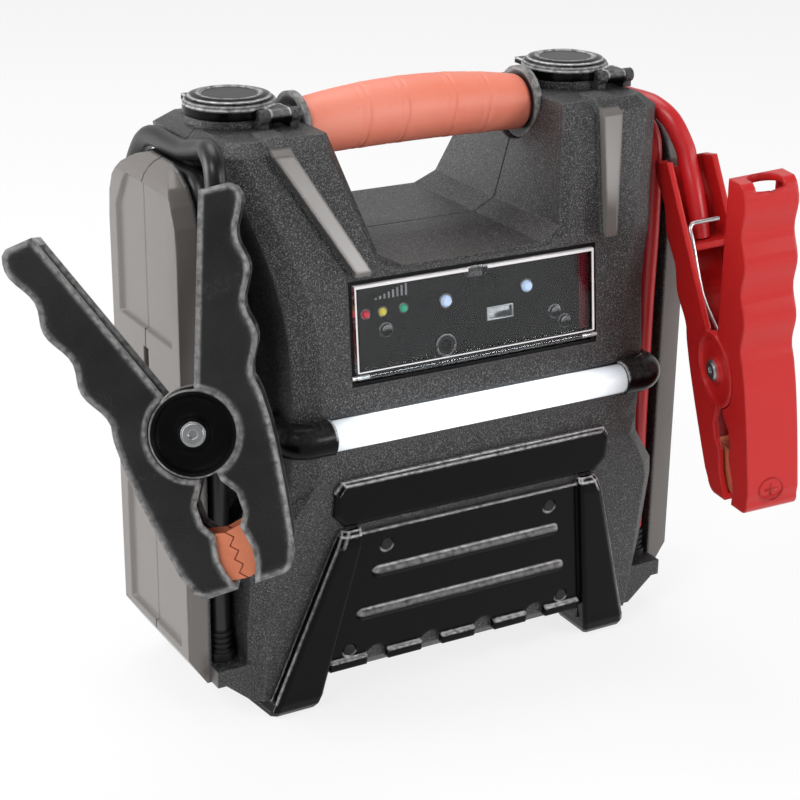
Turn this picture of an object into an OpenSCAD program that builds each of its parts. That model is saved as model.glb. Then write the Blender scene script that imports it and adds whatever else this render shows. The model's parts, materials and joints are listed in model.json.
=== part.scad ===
// Jump starter pack: a moulded casing with side bumpers, a grip, two capped sockets,
// a covered control panel, a light tube, a guard on legs and two stowed clamps.
// The feet stand on z = 0 and the front faces -Y.

/* [Casing] */
// Width across the two side bumpers
body_w = 253; // [250:1:257]
// Depth of the bumpers, front to rear
bumper_depth = 71; // [67:1:75]
// Thickness of a bumper, measured sideways
bumper_t = 10.5; // [9.5:0.5:11.5]
// Height of the bumper tops
bumper_top = 246; // [243:1:248]
// Height of the bumpers' undersides
bumper_low = 19; // [15:1:23]
// Depth of the web between the front and rear cable channels
web_depth = 40; // [36:1:42]
// Height of the shelf at the foot of each cable channel
shelf_z = 28; // [26:0.5:30]
// Height of the trough that carries the cables over the shoulder
trough_z = 234; // [231:0.5:234.5]
// Height of the tower tops
tower_top = 256; // [254:0.5:258]
// Height of the casing's underside
casing_low = 9; // [7:0.5:11]
// Wall thickness of the two shells
wall = 3; // [2.4:0.1:3.4]
// Width across the side walls at the waist
waist_w = 175; // [172:1:178]
// Width across the side walls at the hips
hip_w = 206; // [203:1:207]
// Width across the side walls at the tower tops
crown_w = 211; // [207:1:212]
// Width of the front face at the waist
face_waist_w = 150.6; // [148:0.2:153]
// Width of the front face at the hips
face_hip_w = 192; // [189:1:195]
// Width of the front face at the tower tops
face_crown_w = 196; // [192:1:199]
// Depth from the seam to the belly, behind the light tube
belly_depth = 61.5; // [60.5:0.1:62.5]
// Depth from the seam to the face at the hips
hip_depth = 57.5; // [56:0.1:58.5]
// Depth from the seam to the face at the underside
base_depth = 45.5; // [44:0.5:48]
// Depth from the seam to the face at the tower tops
crown_depth = 39.5; // [38:0.5:41]
// Height of the widest part of the hips
hip_z = 80; // [77:1:82]
// Height where the hips have drawn in to the waist
waist_low = 124; // [120:1:126]
// Height where the waist starts to flare to the towers
waist_high = 177; // [172:1:182]
// Height and depth of the bevel round the tower tops
crown_bevel = 4.5; // [3:0.5:6]

/* [Handle] */
// Height of the floor under the hand gap
gap_floor_z = 202.5; // [201.5:0.1:205]
// Width of the hand gap at its floor
gap_floor_w = 68.6; // [64:0.2:72]
// Width of the hand gap at the tower tops
gap_mouth_w = 116; // [114:0.5:118]
// Height of the handle's axis at its ends
handle_z = 250.5; // [249:0.5:252]
// Rise of the grip's axis at mid span
grip_rise = 3; // [1:0.5:4]
// Radius of the grip at its ends
grip_end_r = 12.2; // [11.4:0.2:13]
// Extra radius of the grip at mid span
grip_swell = 2; // [1:0.2:3]
// Length of the grip
grip_l = 110.6; // [109:0.2:111]
// Radius of the collars at the grip's ends
collar_r = 16; // [14.5:0.5:16.5]
// Thickness of each collar
collar_t = 3; // [2:0.2:3.4]
// Radius of the bar inside the grip
core_r = 8; // [7:0.5:9]

/* [Sockets] */
// Distance of each socket from the middle
socket_x = 83.5; // [82.5:0.1:84.5]
// Distance of each socket behind the seam
socket_y = 5; // [3:0.5:7]
// Radius of the socket's bore
socket_r = 10.5; // [10:0.1:11]
// Depth of the socket's barrel below the tower top
socket_l = 48; // [44:1:52]
// Wall of the barrel
barrel_t = 2.2; // [1.8:0.1:2.6]
// Radius of the bezel on the tower top
bezel_r = 19; // [18:0.2:19.6]
// Height of the bezel
bezel_h = 3.6; // [3:0.2:4]
// Radius of the hinged lid
lid_r = 19.7; // [19:0.1:20.4]
// Height of the hinged lid
lid_h = 8.4; // [7:0.2:9]
// Radius of the lid's hinge barrel
lid_barrel_r = 3; // [2.6:0.1:3.2]
// Radius of the lid's hinge pin
lid_pin_r = 1.5; // [1.2:0.1:1.8]

/* [Control panel] */
// Width of the clear cover
cover_w = 118; // [114:0.5:119]
// Height of the clear cover
cover_h = 40.8; // [39.8:0.2:41]
// Thickness of the clear cover
cover_t = 2.2; // [1.8:0.1:2.6]
// Height of the cover's middle
panel_z = 177.4; // [177:0.1:177.8]
// Depth from the seam to the casing's face at the cover's middle
panel_depth = 59.1; // [58.6:0.1:59.6]
// Lean of the panel, top backwards, in degrees
panel_tilt = 5.6; // [4.8:0.1:6]
// Depth of the panel plate below the casing's face
panel_sunk = 4; // [3.6:0.1:5]
// Radius of the cover's hinge pins
cover_pin_r = 1; // [0.8:0.1:1.1]
// Radius of the three level lamps
level_r = 1.7; // [1.4:0.1:2]
// Radius of the two larger lamps
lamp_r = 2.5; // [2.2:0.1:2.8]
// Radius of the push buttons
button_r = 2.4; // [2:0.1:2.6]
// Travel of the push buttons
button_travel = 0.8; // [0.5:0.1:1]
// Inner radius of the charging jack
jack_r = 2.8; // [2.5:0.1:3]

/* [Light] */
// Radius of the light tube
tube_r = 6.5; // [6:0.1:6.8]
// Visible length of the light tube
tube_l = 145.4; // [140:0.2:148]
// Height of the light tube's axis
tube_z = 136.5; // [135.5:0.1:137]
// Wall of the light tube
tube_t = 1.2; // [0.9:0.1:1.5]
// Distance of the tube's axis in front of the belly
tube_out = 2.4; // [2:0.1:3.4]
// Radius of the tube's end mounts
mount_r = 7.6; // [7.4:0.1:8]
// Length of the tube that each end mount holds
tube_grip = 5.3; // [3:0.1:6]

/* [Guard] */
// Distance of the guard legs' outer edge from the middle, at their tops
leg_top_x = 65.7; // [64:0.1:68]
// Distance of the guard legs' outer edge from the middle, at the floor
leg_foot_x = 95; // [93:0.5:97]
// Width of a leg at its top
leg_top_w = 10.8; // [9:0.2:12]
// Width of a leg at the floor
leg_foot_w = 24; // [21:0.5:27]
// Height of the leg tops
leg_top_z = 90; // [87:0.5:91]
// How far the legs stand out from the casing
leg_proud = 6; // [4:0.2:7]
// How far the ribbed plate stands out from the casing
plate_proud = 1.8; // [1.4:0.1:2.4]
// Height of the plate's lower edge
plate_low = 18; // [16:0.5:19]
// Radius of the two ribs
rib_r = 2.6; // [2:0.1:3]
// Radius of the notches in the plate's lower edge
notch_r = 5.5; // [4.5:0.1:6.5]
// Width of the name bar
bar_w = 139; // [134:0.5:141]
// Height of the name bar's lower edge
bar_low = 92; // [91.5:0.1:93]
// Height of the name bar's upper edge
bar_high = 114; // [112:0.5:116]
// How far the name bar stands out from the casing
bar_proud = 3.2; // [2.4:0.1:3.8]

/* [Inside] */
// Width of the battery
battery_w = 151; // [146:1:153]
// Depth of the battery
battery_d = 65; // [61:0.5:66]
// Height of the battery's case
battery_h = 94; // [90:0.5:95]
// Width of the strap over the battery
strap_w = 18; // [14:0.5:20]
// Thickness of the strap
strap_t = 1.5; // [1:0.1:2]
// Radius of the bosses for the casing screws
boss_r = 5.2; // [5:0.1:5.6]
// Radius of the casing screws
screw_r = 1.6; // [1.4:0.1:1.8]

/* [Cables and clamps] */
// Diameter of the cables
cable_d = 9; // [8:0.2:9.6]
// Height of each cable's strain relief above the shelf
gland_h = 15; // [13:0.5:15]
// Width of a clamp, along its pivot
clamp_w = 24; // [22:0.5:25]
// Thickness of a clamp half's side walls and web
clamp_t = 2.5; // [2.1:0.1:2.7]
// Length of the half that carries the cable, from pivot to tip
cable_half_l = 87; // [85:0.5:88]
// Length of the free half, from pivot to tip
free_half_l = 90; // [88:0.5:93]
// Length of the jaws below the pivot
jaw_l = 63; // [61:0.5:65]
// Depth of the finger waves
wave_d = 1.8; // [1:0.1:2.2]
// Radius of the pivot discs
disc_r = 17.3; // [16.5:0.1:17.8]
// Radius of the clamp's rivet
rivet_r = 3.5; // [3:0.1:3.8]
// Radius of the spring's wire
wire_r = 1; // [0.9:0.05:1.1]
// Turns in the spring's coil
coil_turns = 3.5; // [2.5:0.5:3.5]
// Height of a tooth of the copper jaws
tooth_h = 2.6; // [2:0.1:3]

/* [Hidden] */

fit = 0.06;        // running clearance of a shaft in its hole
free_gap = 0.3;    // clearance between pieces that move past each other
over = 1;          // how far a cut runs past a face
far = 200;         // longer than any cut needs

// Casing, derived
rim_x = body_w / 2 - bumper_t;                     // inner face of a bumper
tube_depth = belly_depth + tube_out;               // seam to the light tube's axis
seam_y = (tube_depth + mount_r - belly_depth) / 2;  // centres the pack's depth on y = 0
panel_reach = cover_h / 2 + 6;                     // flat of the casing round the cover
panel_low = panel_z - panel_reach * cos(panel_tilt);
panel_high = panel_z + panel_reach * cos(panel_tilt);
bevel_z = tower_top - crown_bevel;
tower_side = crown_w / 2;
floor_z = casing_low + wall;                       // inside floor

// Control panel, derived
pocket_gap = 0.4;
rim_t = 1.6;
tray_w = cover_w + 2 * (pocket_gap + rim_t);
tray_h = cover_h + 2 * (pocket_gap + rim_t);
tray_d = 16;
plate_t = 2;
plate_back = -panel_sunk - plate_t;
board_t = 1.6;
board_face = -13.5;
hinge_y = -cover_h / 2 + 1.8;
hinge_n = -0.3;
cover_back = hinge_n - cover_t / 2;
level_lamps = [-51.7, -43.7, -33.7];
level_y = 6.8;
charge_lamp = [-13.3, 6.8];
light_lamp = [27, 7.3];
tester_at = [-42.4, -1.2];
light_button_at = [41.3, -6.2];
usb_button_at = [46.3, -11.2];
usb_at = [13.5, -2.2];
usb_size = [13.1, 5.7];
jack_at = [-13.7, -12.5];
jack_wall = 1.2;

// Sockets, derived
lid_gap = 0.3;
lid_hinge = [socket_y - lid_r + 1.2 - lid_barrel_r, tower_top + lid_barrel_r + 2.2];
mouth_r = socket_r + 1.2;
knuckle_x = [3, 21];
ear_w = 4;

// Clamps: pivot, then turn about Z, roll about X and lean about Y
black_pose = [[-135, -69, 153.4], [-28, -16, -18.8]];
red_pose = [[116.2, -93.7, 145.6], [76.5, -7, 6.4]];

// Cable routes, from the strain relief to the clamp, chosen by hand
red_route = [
  [109.5, -31, 43], [109.5, -31, 70], [109, -31, 100], [109, -31, 130], [109, -31, 160],
  [109.5, -31, 190], [110, -30, 214], [110.5, -28.5, 227], [110.5, -26.5, 234],
  [110.5, -21, 239], [110.5, -7, 239.2], [110.5, 7, 239.2], [110.5, 21, 239], [110.5, 26.5, 234],
  [110.5, 28.5, 227], [109.5, 30, 212], [109, 30.5, 180], [109, 31, 150], [109, 32, 136],
  [109, 36, 129], [109, 41.5, 126.5], [109, 47, 129], [109, 51, 136], [109, 52, 150],
  [109.5, 52, 182], [110, 51, 212], [110.2, 47, 226.5], [110.4, 39.5, 238], [110.4, 31, 245.6],
  [110.5, 21, 248.7], [110.5, 4, 248.7], [110.5, -9, 248.7], [110.7, -18, 249],
  [112, -26.8, 248], [114.6, -35.8, 243], [117.6, -42.6, 231.9], [117.7, -45.9, 224.3],
  [117.8, -50.6, 214.8], [118.4, -54.2, 203.2], [119.1, -56.2, 193.6]
];
black_route = [
  [-109.5, -31, 43], [-109.5, -31, 70], [-109, -31, 100], [-109, -31, 130], [-109, -31, 160],
  [-109.5, -31, 190], [-110, -30, 214], [-110.5, -28.5, 227], [-110.5, -26.5, 234],
  [-110.5, -21, 239], [-110.5, -7, 239.2], [-110.5, 7, 239.2], [-110.5, 21, 239],
  [-110.5, 26.5, 234], [-110.5, 28.5, 227], [-109.5, 30, 212], [-109, 30.5, 180],
  [-109, 31, 150], [-109, 32, 136], [-109, 36, 129], [-109, 41.5, 126.5], [-109, 47, 129],
  [-109, 51, 136], [-109, 52, 150], [-109.5, 52, 182], [-110, 51, 212], [-110.2, 47, 226.5],
  [-110.4, 39.5, 238], [-110.4, 31, 245.6], [-110.5, 21, 248.7], [-110.5, 4, 248.7],
  [-110.5, -9, 249.5], [-110.6, -20, 252.2], [-111, -31, 255], [-113.3, -40, 256],
  [-114.8, -47.9, 251.5], [-115.5, -50.7, 241.5], [-116.9, -53.3, 231.4], [-116.8, -57.1, 219.8],
  [-115.8, -60.6, 210.7]
];

// ---- Curves and frames ----

function mix(a, b, t) = a + (b - a) * min(1, max(0, t));
function ease(t) = let (u = min(1, max(0, t))) u * u * (3 - 2 * u);
function unit(v) = v / norm(v);

// Depth of the casing's flat round the control panel
function panel_plane(z) = panel_depth - (z - panel_z) * tan(panel_tilt);

// Depth of the casing's face below the seam plane at a height
function face_depth(z) = lookup(z, [
  [casing_low, base_depth], [hip_z + 7, hip_depth], [hip_z + 25, belly_depth - 0.9],
  [tube_z - tube_r, belly_depth], [panel_low, panel_plane(panel_low)],
  [panel_high, panel_plane(panel_high)], [bevel_z, crown_depth],
  [tower_top, crown_depth - crown_bevel * 1.4]
]);

// The upper face's slope, carried on past its ends
function brow_depth(z) = panel_plane(panel_high) + (z - panel_high)
  * (crown_depth - panel_plane(panel_high)) / (bevel_z - panel_high);

// Half widths of the front face and of the casing's sides at a height
function face_half(z) =
  z <= waist_low ? mix(face_hip_w, face_waist_w, ease((z - hip_z) / (waist_low - hip_z))) / 2
  : z <= bevel_z
    ? mix(face_waist_w, face_crown_w,
        pow(max(0, z - waist_high) / (bevel_z - waist_high), 1.2)) / 2
    : face_crown_w / 2 - (z - bevel_z) * 0.4;
function side_half(z) =
  z <= waist_low ? mix(hip_w, waist_w, ease((z - hip_z - 3) / (waist_low - hip_z - 16))) / 2
    - max(0, 1 - (z - casing_low) / 20) * 2
  : z <= bevel_z
    ? mix(waist_w, crown_w, pow(max(0, z - waist_high) / (bevel_z - waist_high), 1.3)) / 2
    : tower_side - (z - bevel_z);
// How far the corner facet falls back from the face
function facet_in(z) = z <= waist_low ? mix(6, 3, ease((z - hip_z) / (waist_low - hip_z)))
  : mix(3, 4.5, (z - waist_high) / (bevel_z - waist_high));

// Closed solid through a stack of rings with equal counts of points
module skin(rings) {
  n = len(rings[0]);
  last = len(rings) - 1;
  sides = [for (k = [0:last - 1]) for (i = [0:n - 1])
    let (a = k * n + i, b = k * n + (i + 1) % n) each [[a, a + n, b + n], [a, b + n, b]]];
  foot = [for (i = [0:n - 1]) i];
  head = [for (i = [n - 1:-1:0]) last * n + i];
  polyhedron([for (ring = rings) each ring], concat([foot, head], sides), convexity = 8);
}

// Round tube swept along points, with a frame carried from point to point
function tangents(path) = let (n = len(path)) [for (i = [0:n - 1])
  unit(path[min(n - 1, i + 1)] - path[max(0, i - 1)])];
function carried(t, start) = [for (i = 0, v = start; i < len(t);
  i = i + 1, v = i < len(t) ? unit(v - (v * t[i]) * t[i]) : v) v];
module tube(path, r, sides) {
  t = tangents(path);
  guess = abs(t[0].z) < 0.9 ? [0, 0, 1] : [0, 1, 0];
  n = carried(t, unit(cross(guess, t[0])));
  skin([for (i = [0:len(path) - 1]) [for (k = [0:sides - 1])
    path[i] + r * (cos(360 * k / sides) * n[i] + sin(360 * k / sides) * cross(t[i], n[i]))]]);
}

module at_seam() { translate([0, seam_y, 0]) children(); }
module both_sides() { children(); mirror([1, 0, 0]) children(); }
// Outline in X and Z, extruded along Y about y = 0
module slab(w) { rotate([90, 0, 0]) linear_extrude(w, center = true) children(); }
// Frame on the control panel: X right, Y up the panel, Z out of it
module on_panel() { translate([0, -panel_depth, panel_z]) rotate([90 - panel_tilt, 0, 0]) children(); }
module block(size, at) { translate(at - size / 2) cube(size); }

// ---- Casing ----

function heights(inset) = concat(
  [casing_low + inset, (casing_low + hip_z) / 2, hip_z],
  [for (i = [1:5]) hip_z + i * (waist_low - hip_z) / 5],
  [tube_z - tube_r, panel_low, waist_high, (waist_high + panel_high) / 2],
  [for (i = [0:4]) panel_high + i * (bevel_z - panel_high) / 5],
  [bevel_z, tower_top - inset]);

function casing_ring(z, inset) = let (
    f = face_half(z) - inset * 0.8,
    s = side_half(z) - inset,
    d = face_depth(z) - inset,
    e = d - facet_in(z))
  [[-s, -e, z], [-f, -d, z], [f, -d, z], [s, -e, z], [s, e, z], [f, d, z], [-f, d, z], [-s, e, z]];

module casing_loft(inset) { skin([for (z = heights(inset)) casing_ring(z, inset)]); }

// Outline of the hand gap between the towers, grown outwards by a wall
function gap_outline(grow) = let (
    f = gap_floor_w / 2 + grow / 2,
    c = f + 10.2 + grow / 2,
    m = gap_mouth_w / 2 + grow + 5.6)
  [[-m, tower_top + 20], [-c, gap_floor_z + 5.5 - grow / 2], [-f, gap_floor_z - grow],
   [f, gap_floor_z - grow], [c, gap_floor_z + 5.5 - grow / 2], [m, tower_top + 20]];

// Bevel where the hand gap meets a face: wide at the towers, narrow at the floor
function gap_bevel(z) = mix(2.2, 6, (z - gap_floor_z) / (tower_top - gap_floor_z));
module hand_gap() {
  slab(2 * far) polygon(gap_outline(0));
  inner = gap_outline(0);
  for (flip = [0, 1]) mirror([0, flip, 0]) skin([
    [for (i = [5:-1:0]) let (p = inner[i]) [p.x, -brow_depth(p.y) + gap_bevel(p.y), p.y]],
    [for (i = [5:-1:0]) let (p = inner[i], b = gap_bevel(p.y) + 1.2, low = p.y < tower_top - 9)
      [p.x + sign(p.x) * b, -brow_depth(p.y - (low ? b : 0)) - 1.2, p.y - (low ? b : 0)]]]);
}

corner_r = 14;
function bumper_outline(inset) = let (x = body_w / 2 - inset, top = bumper_top - inset)
  concat([[rim_x + inset, bumper_low + inset], [rim_x + 2 + inset, bumper_low + inset],
    [x, bumper_low + 13 + inset]],
    [for (a = [0:15:75]) [x - corner_r + corner_r * cos(a), top - corner_r + corner_r * sin(a)]],
    [[rim_x + inset, top - 0.6]]);
// Side view of a bumper, rounded over at its top corners
function bumper_side(inset) = let (h = bumper_depth / 2 - inset, top = bumper_top + 1 - inset)
  concat([[-h + 3, 0], [-h, bumper_low + 3]],
    [for (a = [180:-15:0]) [h * cos(a), top - 34 + 34 * pow(sin(a), 0.8)]],
    [[h, bumper_low + 3], [h - 3, 0]]);
module bumper(inset) {
  intersection() {
    slab(bumper_depth) polygon(bumper_outline(inset));
    rotate([90, 0, 90]) linear_extrude(far) polygon(bumper_side(inset));
  }
}

// Shallow fields sunk into a bumper's outer face, one above and one below the clip
module bumper_field(low, high, tip) {
  h = bumper_depth / 2;
  sunk = 1.6;
  outer = [[-h + 7, low], [h - 7, low], [h - 7.5, high - tip], [h - 18, high],
    [-h + 18, high], [-h + 7.5, high - tip]];
  skin([for (k = [0, 1]) [for (p = outer)
    [body_w / 2 - (k == 0 ? sunk : -over), p.x * (k == 0 ? 0.9 : 1.035),
     k == 0 ? mix(p.y, (low + high) / 2, 0.04) : mix(p.y, (low + high) / 2, -0.02)]]]);
}

module shelf() {
  slab(88) polygon([[hip_w / 2 - 12, casing_low], [hip_w / 2 - 3, casing_low + 0.3],
    [rim_x - 3, bumper_low + 1.5], [rim_x + 1, bumper_low + 1.5], [rim_x + 1, shelf_z],
    [hip_w / 2 - 12, shelf_z]]);
}

module flange() {
  bumper(0);
  slab(web_depth) polygon([[60, shelf_z - 4], [rim_x + 1, shelf_z - 4],
    [rim_x + 1, trough_z], [60, trough_z]]);
  shelf();
}

screw_spots = [[92, 24], [79, 130], [60, 213], [30, 116]];
guard_screw_spots = [[42, 78.5], [56, 26.5]];
module along_y(x, z, from, to, r) {
  translate([x, from, z]) rotate([-90, 0, 0]) cylinder(h = to - from, r = r, $fn = 32);
}

module handle_boss(r, x0, x1) {
  translate([x0, 0, handle_z]) rotate([0, 90, 0]) cylinder(h = x1 - x0, r = r, $fn = 48);
}

collar_in = grip_l / 2;
collar_out = collar_in + collar_t;
boss_end = collar_out + 4;
groove_r = tube_r + 0.8;

// Everything hollow inside the casing
module casing_cavity() {
  difference() {
    union() {
      casing_loft(wall);
      both_sides() {
        slab(web_depth - 2 * wall) polygon([[60, shelf_z + wall], [body_w / 2 - wall, shelf_z + 8],
          [body_w / 2 - wall, bumper_top - 22], [rim_x, trough_z - wall], [60, trough_z - wall]]);
        intersection() {
          slab(bumper_depth - 2 * wall) polygon([[rim_x + wall, shelf_z + 8],
            [body_w / 2 - wall - 1.6, shelf_z + 8], [body_w / 2 - wall - 1.6, bumper_top - 26],
            [rim_x + wall, bumper_top - 26]]);
          bumper(wall);
        }
      }
    }
    slab(2 * far) polygon(gap_outline(wall));
    both_sides() {
      handle_boss(collar_r + 2.6, collar_in - 6, boss_end);
      for (s = screw_spots) along_y(s.x, s.y, -far, far, boss_r);
      for (s = guard_screw_spots) along_y(s.x, s.y, -far, -face_depth(s.y) + 9, 3.6);
    }
    translate([-tube_l / 2 - tube_grip - wall, -tube_depth, tube_z]) rotate([0, 90, 0])
      cylinder(h = tube_l + 2 * (tube_grip + wall), r = groove_r + wall, $fn = 48);
    slab_relief(wall);
  }
}

// Slope under the guard plate and its twin at the rear
module slab_relief(grow) {
  w = 2 * (leg_foot_x - leg_foot_w) - 6 + 2 * grow;
  for (flip = [0, 1]) mirror([0, flip, 0])
    translate([-w / 2, 0, 0]) rotate([90, 0, 90]) linear_extrude(w)
      polygon([[-far / 2, -over], [-far / 2, plate_low + grow], [-base_depth + 1.5, plate_low + grow],
        [-36 + grow, casing_low + grow * 0.4], [-36 + grow, -over]]);
}

// Two smooth spines climb the front and run over the bevel to the lids
module spine(foot, head) {
  proud = 4.6;
  z0 = panel_high - 1.5;
  rows = [
    [z0, foot, face_depth(z0) + proud - 1, face_depth(z0) - 2],
    [z0 + 2, foot, face_depth(z0 + 2) + proud, face_depth(z0 + 2) - 2],
    [bevel_z, head, crown_depth + proud, crown_depth - 2],
    [tower_top + 1.6, head, face_depth(tower_top) + 1.6, 24]];
  skin([for (r = rows) [[r[1][0], -r[2], r[0]], [r[1][1], -r[2], r[0]],
    [r[1][1] + 0.6, -r[3], r[0]], [r[1][0] - 0.6, -r[3], r[0]]]]);
}

module seam_groove() {
  g = 0.35;
  d = 0.9;
  difference() {
    translate([-far, -g, -over]) cube([2 * far, 2 * g, far * 2]);
    difference() {
      union() {
        casing_loft(d);
        both_sides() slab(10) offset(delta = -d) union() {
          polygon(bumper_outline(0));
          polygon([[60, casing_low], [hip_w / 2 - 3, casing_low + 0.3],
            [rim_x - 3, bumper_low + 1.5], [rim_x + 2, bumper_low + 1.5],
            [rim_x + 2, trough_z], [60, trough_z]]);
        }
      }
      slab(2 * far) polygon(gap_outline(d));
    }
  }
}

module casing_solid() {
  difference() {
    union() {
      casing_loft(0);
      both_sides() flange();
    }
    hand_gap();
    slab_relief(0);
    both_sides() {
      bumper_field(172, bumper_top - 9, 16);
      bumper_field(bumper_low + 16, 99, 6);
      block([6, 5, 9], [body_w / 2, 0, 160]);
    }
  }
}

// One half of the casing: the front for side = -1, the rear for side = 1
module shell_half(side) {
  intersection() {
    difference() {
      union() {
        difference() {
          casing_solid();
          casing_cavity();
        }
        if (side < 0) {
          spine([-59.4, -52], [-87, -78]);
          spine([64.3, 69.6], [71.6, 81.6]);
        }
        battery_rib();
      }
      seam_groove();
      both_sides() {
        handle_boss(collar_r + free_gap, 40, collar_out);
        handle_boss(core_r, 40, boss_end);
        translate([socket_x, socket_y, tower_top - 12])
          cylinder(h = 20, r = socket_r + barrel_t, $fn = 64);
        translate([gland_at.x, gland_at.y, shelf_z - gland_stem])
          cylinder(h = 30, r = gland_r - 1.6, $fn = 32);
        for (s = screw_spots) {
          along_y(s.x, s.y, screw_seat, far, screw_r + 2);
          along_y(s.x, s.y, 0, far, screw_r + 0.2);
          along_y(s.x, s.y, -screw_bite, over, screw_r);
        }
        for (s = guard_screw_spots) along_y(s.x, s.y, -far, -face_depth(s.y) + 7, screw_r);
      }
      if (side < 0) {
        on_panel() block([tray_w, tray_h, 50], [0, 0, 0]);
        translate([-tube_l / 2 - tube_grip - free_gap, -tube_depth, tube_z]) rotate([0, 90, 0])
          cylinder(h = tube_l + 2 * (tube_grip + free_gap), r = groove_r, $fn = 48);
      }
    }
    translate([-far, side < 0 ? -far : 0, -over]) cube([2 * far, far, 2 * far]);
  }
}

// Low ribs that keep the battery from sliding
module battery_rib() {
  for (side = [-1, 1]) block([battery_w - 40, 2, 10],
    [0, side * (battery_d / 2 + 1), floor_z + 5]);
}

module front_shell() { color("#1d1e20") at_seam() shell_half(-1); }
module rear_shell() { color("#1d1e20") at_seam() shell_half(1); }

screw_seat = 22;
screw_bite = 14;
module housing_screws() {
  color("#8d8f92") at_seam() both_sides() for (s = screw_spots) {
    along_y(s.x, s.y, -screw_bite, screw_seat, screw_r);
    along_y(s.x, s.y, screw_seat, screw_seat + 2.2, screw_r * 2);
  }
}

// ---- Guard, feet and name bar ----

function leg_outer(z) = mix(leg_foot_x, leg_top_x, z / leg_top_z);
function leg_inner(z) = mix(leg_foot_x - leg_foot_w, leg_top_x - leg_top_w, z / leg_top_z);
foot_back = 26;

module guard_leg() {
  rows = [[0, 3, leg_proud - 6], [1.4, 1.2, leg_proud - 3.4], [4, 0.3, leg_proud - 1.3], [8, 0, leg_proud],
    [casing_low + 4, 0, leg_proud], [hip_z / 2, 0, leg_proud], [leg_top_z - 7, 0, leg_proud],
    [leg_top_z - 2, 0.4, leg_proud - 1.2], [leg_top_z, 1, leg_proud - 3]];
  skin([for (r = rows) let (z = r[0], a = leg_inner(z) + r[1], b = leg_outer(z) - r[1],
      d = face_depth(z) + r[2])
    [[a, -foot_back - r[1], z], [a, -d + 1.2, z], [a + 1.2, -d, z], [b - 2.4, -d, z],
     [b, -d + 1.8, z], [b + 2, -foot_back - r[1], z]]]);
}

// A panel laid on the sloping face between two heights, before the casing is cut away
module face_panel(low, high, half_low, half_high, proud) {
  skin([for (z = [low, high]) let (w = z == low ? half_low : half_high, d = face_depth(z))
    [[-w, -d + 4, z], [-w, -d - proud, z], [w, -d - proud, z], [w, -d + 4, z]]]);
}

ribs_at = [[65, 45.5], [44, 51.5]];
module guard_plate() {
  difference() {
    union() {
      face_panel(plate_low, leg_top_z - 3, leg_inner(plate_low) + 1, leg_inner(leg_top_z - 3) + 1,
        plate_proud);
      face_panel(plate_low - 0.5, plate_low + 4, leg_inner(plate_low) - 2,
        leg_inner(plate_low) - 2, plate_proud + 1.8);
      for (rib = ribs_at) translate([0, -face_depth(rib[0]) - plate_proud, rib[0]]) {
        translate([-rib[1], 0, 0]) rotate([0, 90, 0]) cylinder(h = 2 * rib[1], r = rib_r, $fn = 24);
        both_sides() translate([rib[1], 0, 0]) sphere(r = rib_r, $fn = 24);
      }
    }
    for (x = [-42, -14, 14, 42]) {
      along_y(x, plate_low + 2, -far, 0, notch_r);
      block([2 * notch_r, far, 20], [x, -far / 2, plate_low - 8]);
    }
  }
}

module front_guard() {
  color("#141517") at_seam() difference() {
    union() {
      both_sides() guard_leg();
      guard_plate();
    }
    casing_loft(0);
    both_sides() for (s = guard_screw_spots) {
      along_y(s.x, s.y, -far, 0, screw_r);
      along_y(s.x, s.y, -far, -face_depth(s.y) - head_lift, head_r + 0.5);
    }
  }
}

// Screw heads sunk in the plate, clear of the sloping face below
head_lift = 0.5;
head_r = 2.7;

module guard_screws() {
  color("#3a3b3e") at_seam() both_sides() for (s = guard_screw_spots)
    let (d = face_depth(s.y) + head_lift) {
      along_y(s.x, s.y, -d, -face_depth(s.y) + 7, screw_r);
      along_y(s.x, s.y, -d - 1.2, -d, head_r);
    }
}

module rear_feet() {
  color("#101113") at_seam() difference() {
    both_sides() skin([for (r = [[0, 2], [1.5, 0.5], [4, 0], [casing_low + 4, 0]])
      let (a = leg_foot_x - leg_foot_w + 2 + r[1], b = leg_foot_x - r[1],
        c = foot_back + r[1], d = base_depth - 1 - r[1])
      [[a, c, r[0]], [b, c, r[0]], [b, d, r[0]], [a, d, r[0]]]]);
    casing_loft(0);
  }
}

module name_bar() {
  w = bar_w / 2;
  outline = [[-w + 3, bar_high], [-w, bar_high - 4.5], [-w, bar_low + 6], [-w + 5.5, bar_low],
    [w - 5.5, bar_low], [w, bar_low + 6], [w, bar_high - 4.5], [w - 3, bar_high]];
  d0 = face_depth(bar_low) + bar_proud;
  slope = (face_depth(bar_high) - face_depth(bar_low)) / (bar_high - bar_low);
  middle = (bar_low + bar_high) / 2;
  function ring(back, inset) = [for (p = outline)
    let (x = p.x - sign(p.x) * inset, z = p.y + (p.y > middle ? -inset : inset))
    [x, -d0 - slope * (z - bar_low) + back, z]];
  color("#0b0b0c") at_seam() difference() {
    skin([ring(12, 0), ring(1.4, 0), ring(0, 1.6)]);
    casing_loft(0);
  }
}

// ---- Control panel ----

module panel_holes(extra) {
  for (x = level_lamps) translate([x, level_y, -far / 2]) cylinder(h = far, r = level_r + extra, $fn = 24);
  for (p = [charge_lamp, light_lamp]) translate([p.x, p.y, -far / 2])
    cylinder(h = far, r = lamp_r + extra, $fn = 32);
}

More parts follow.
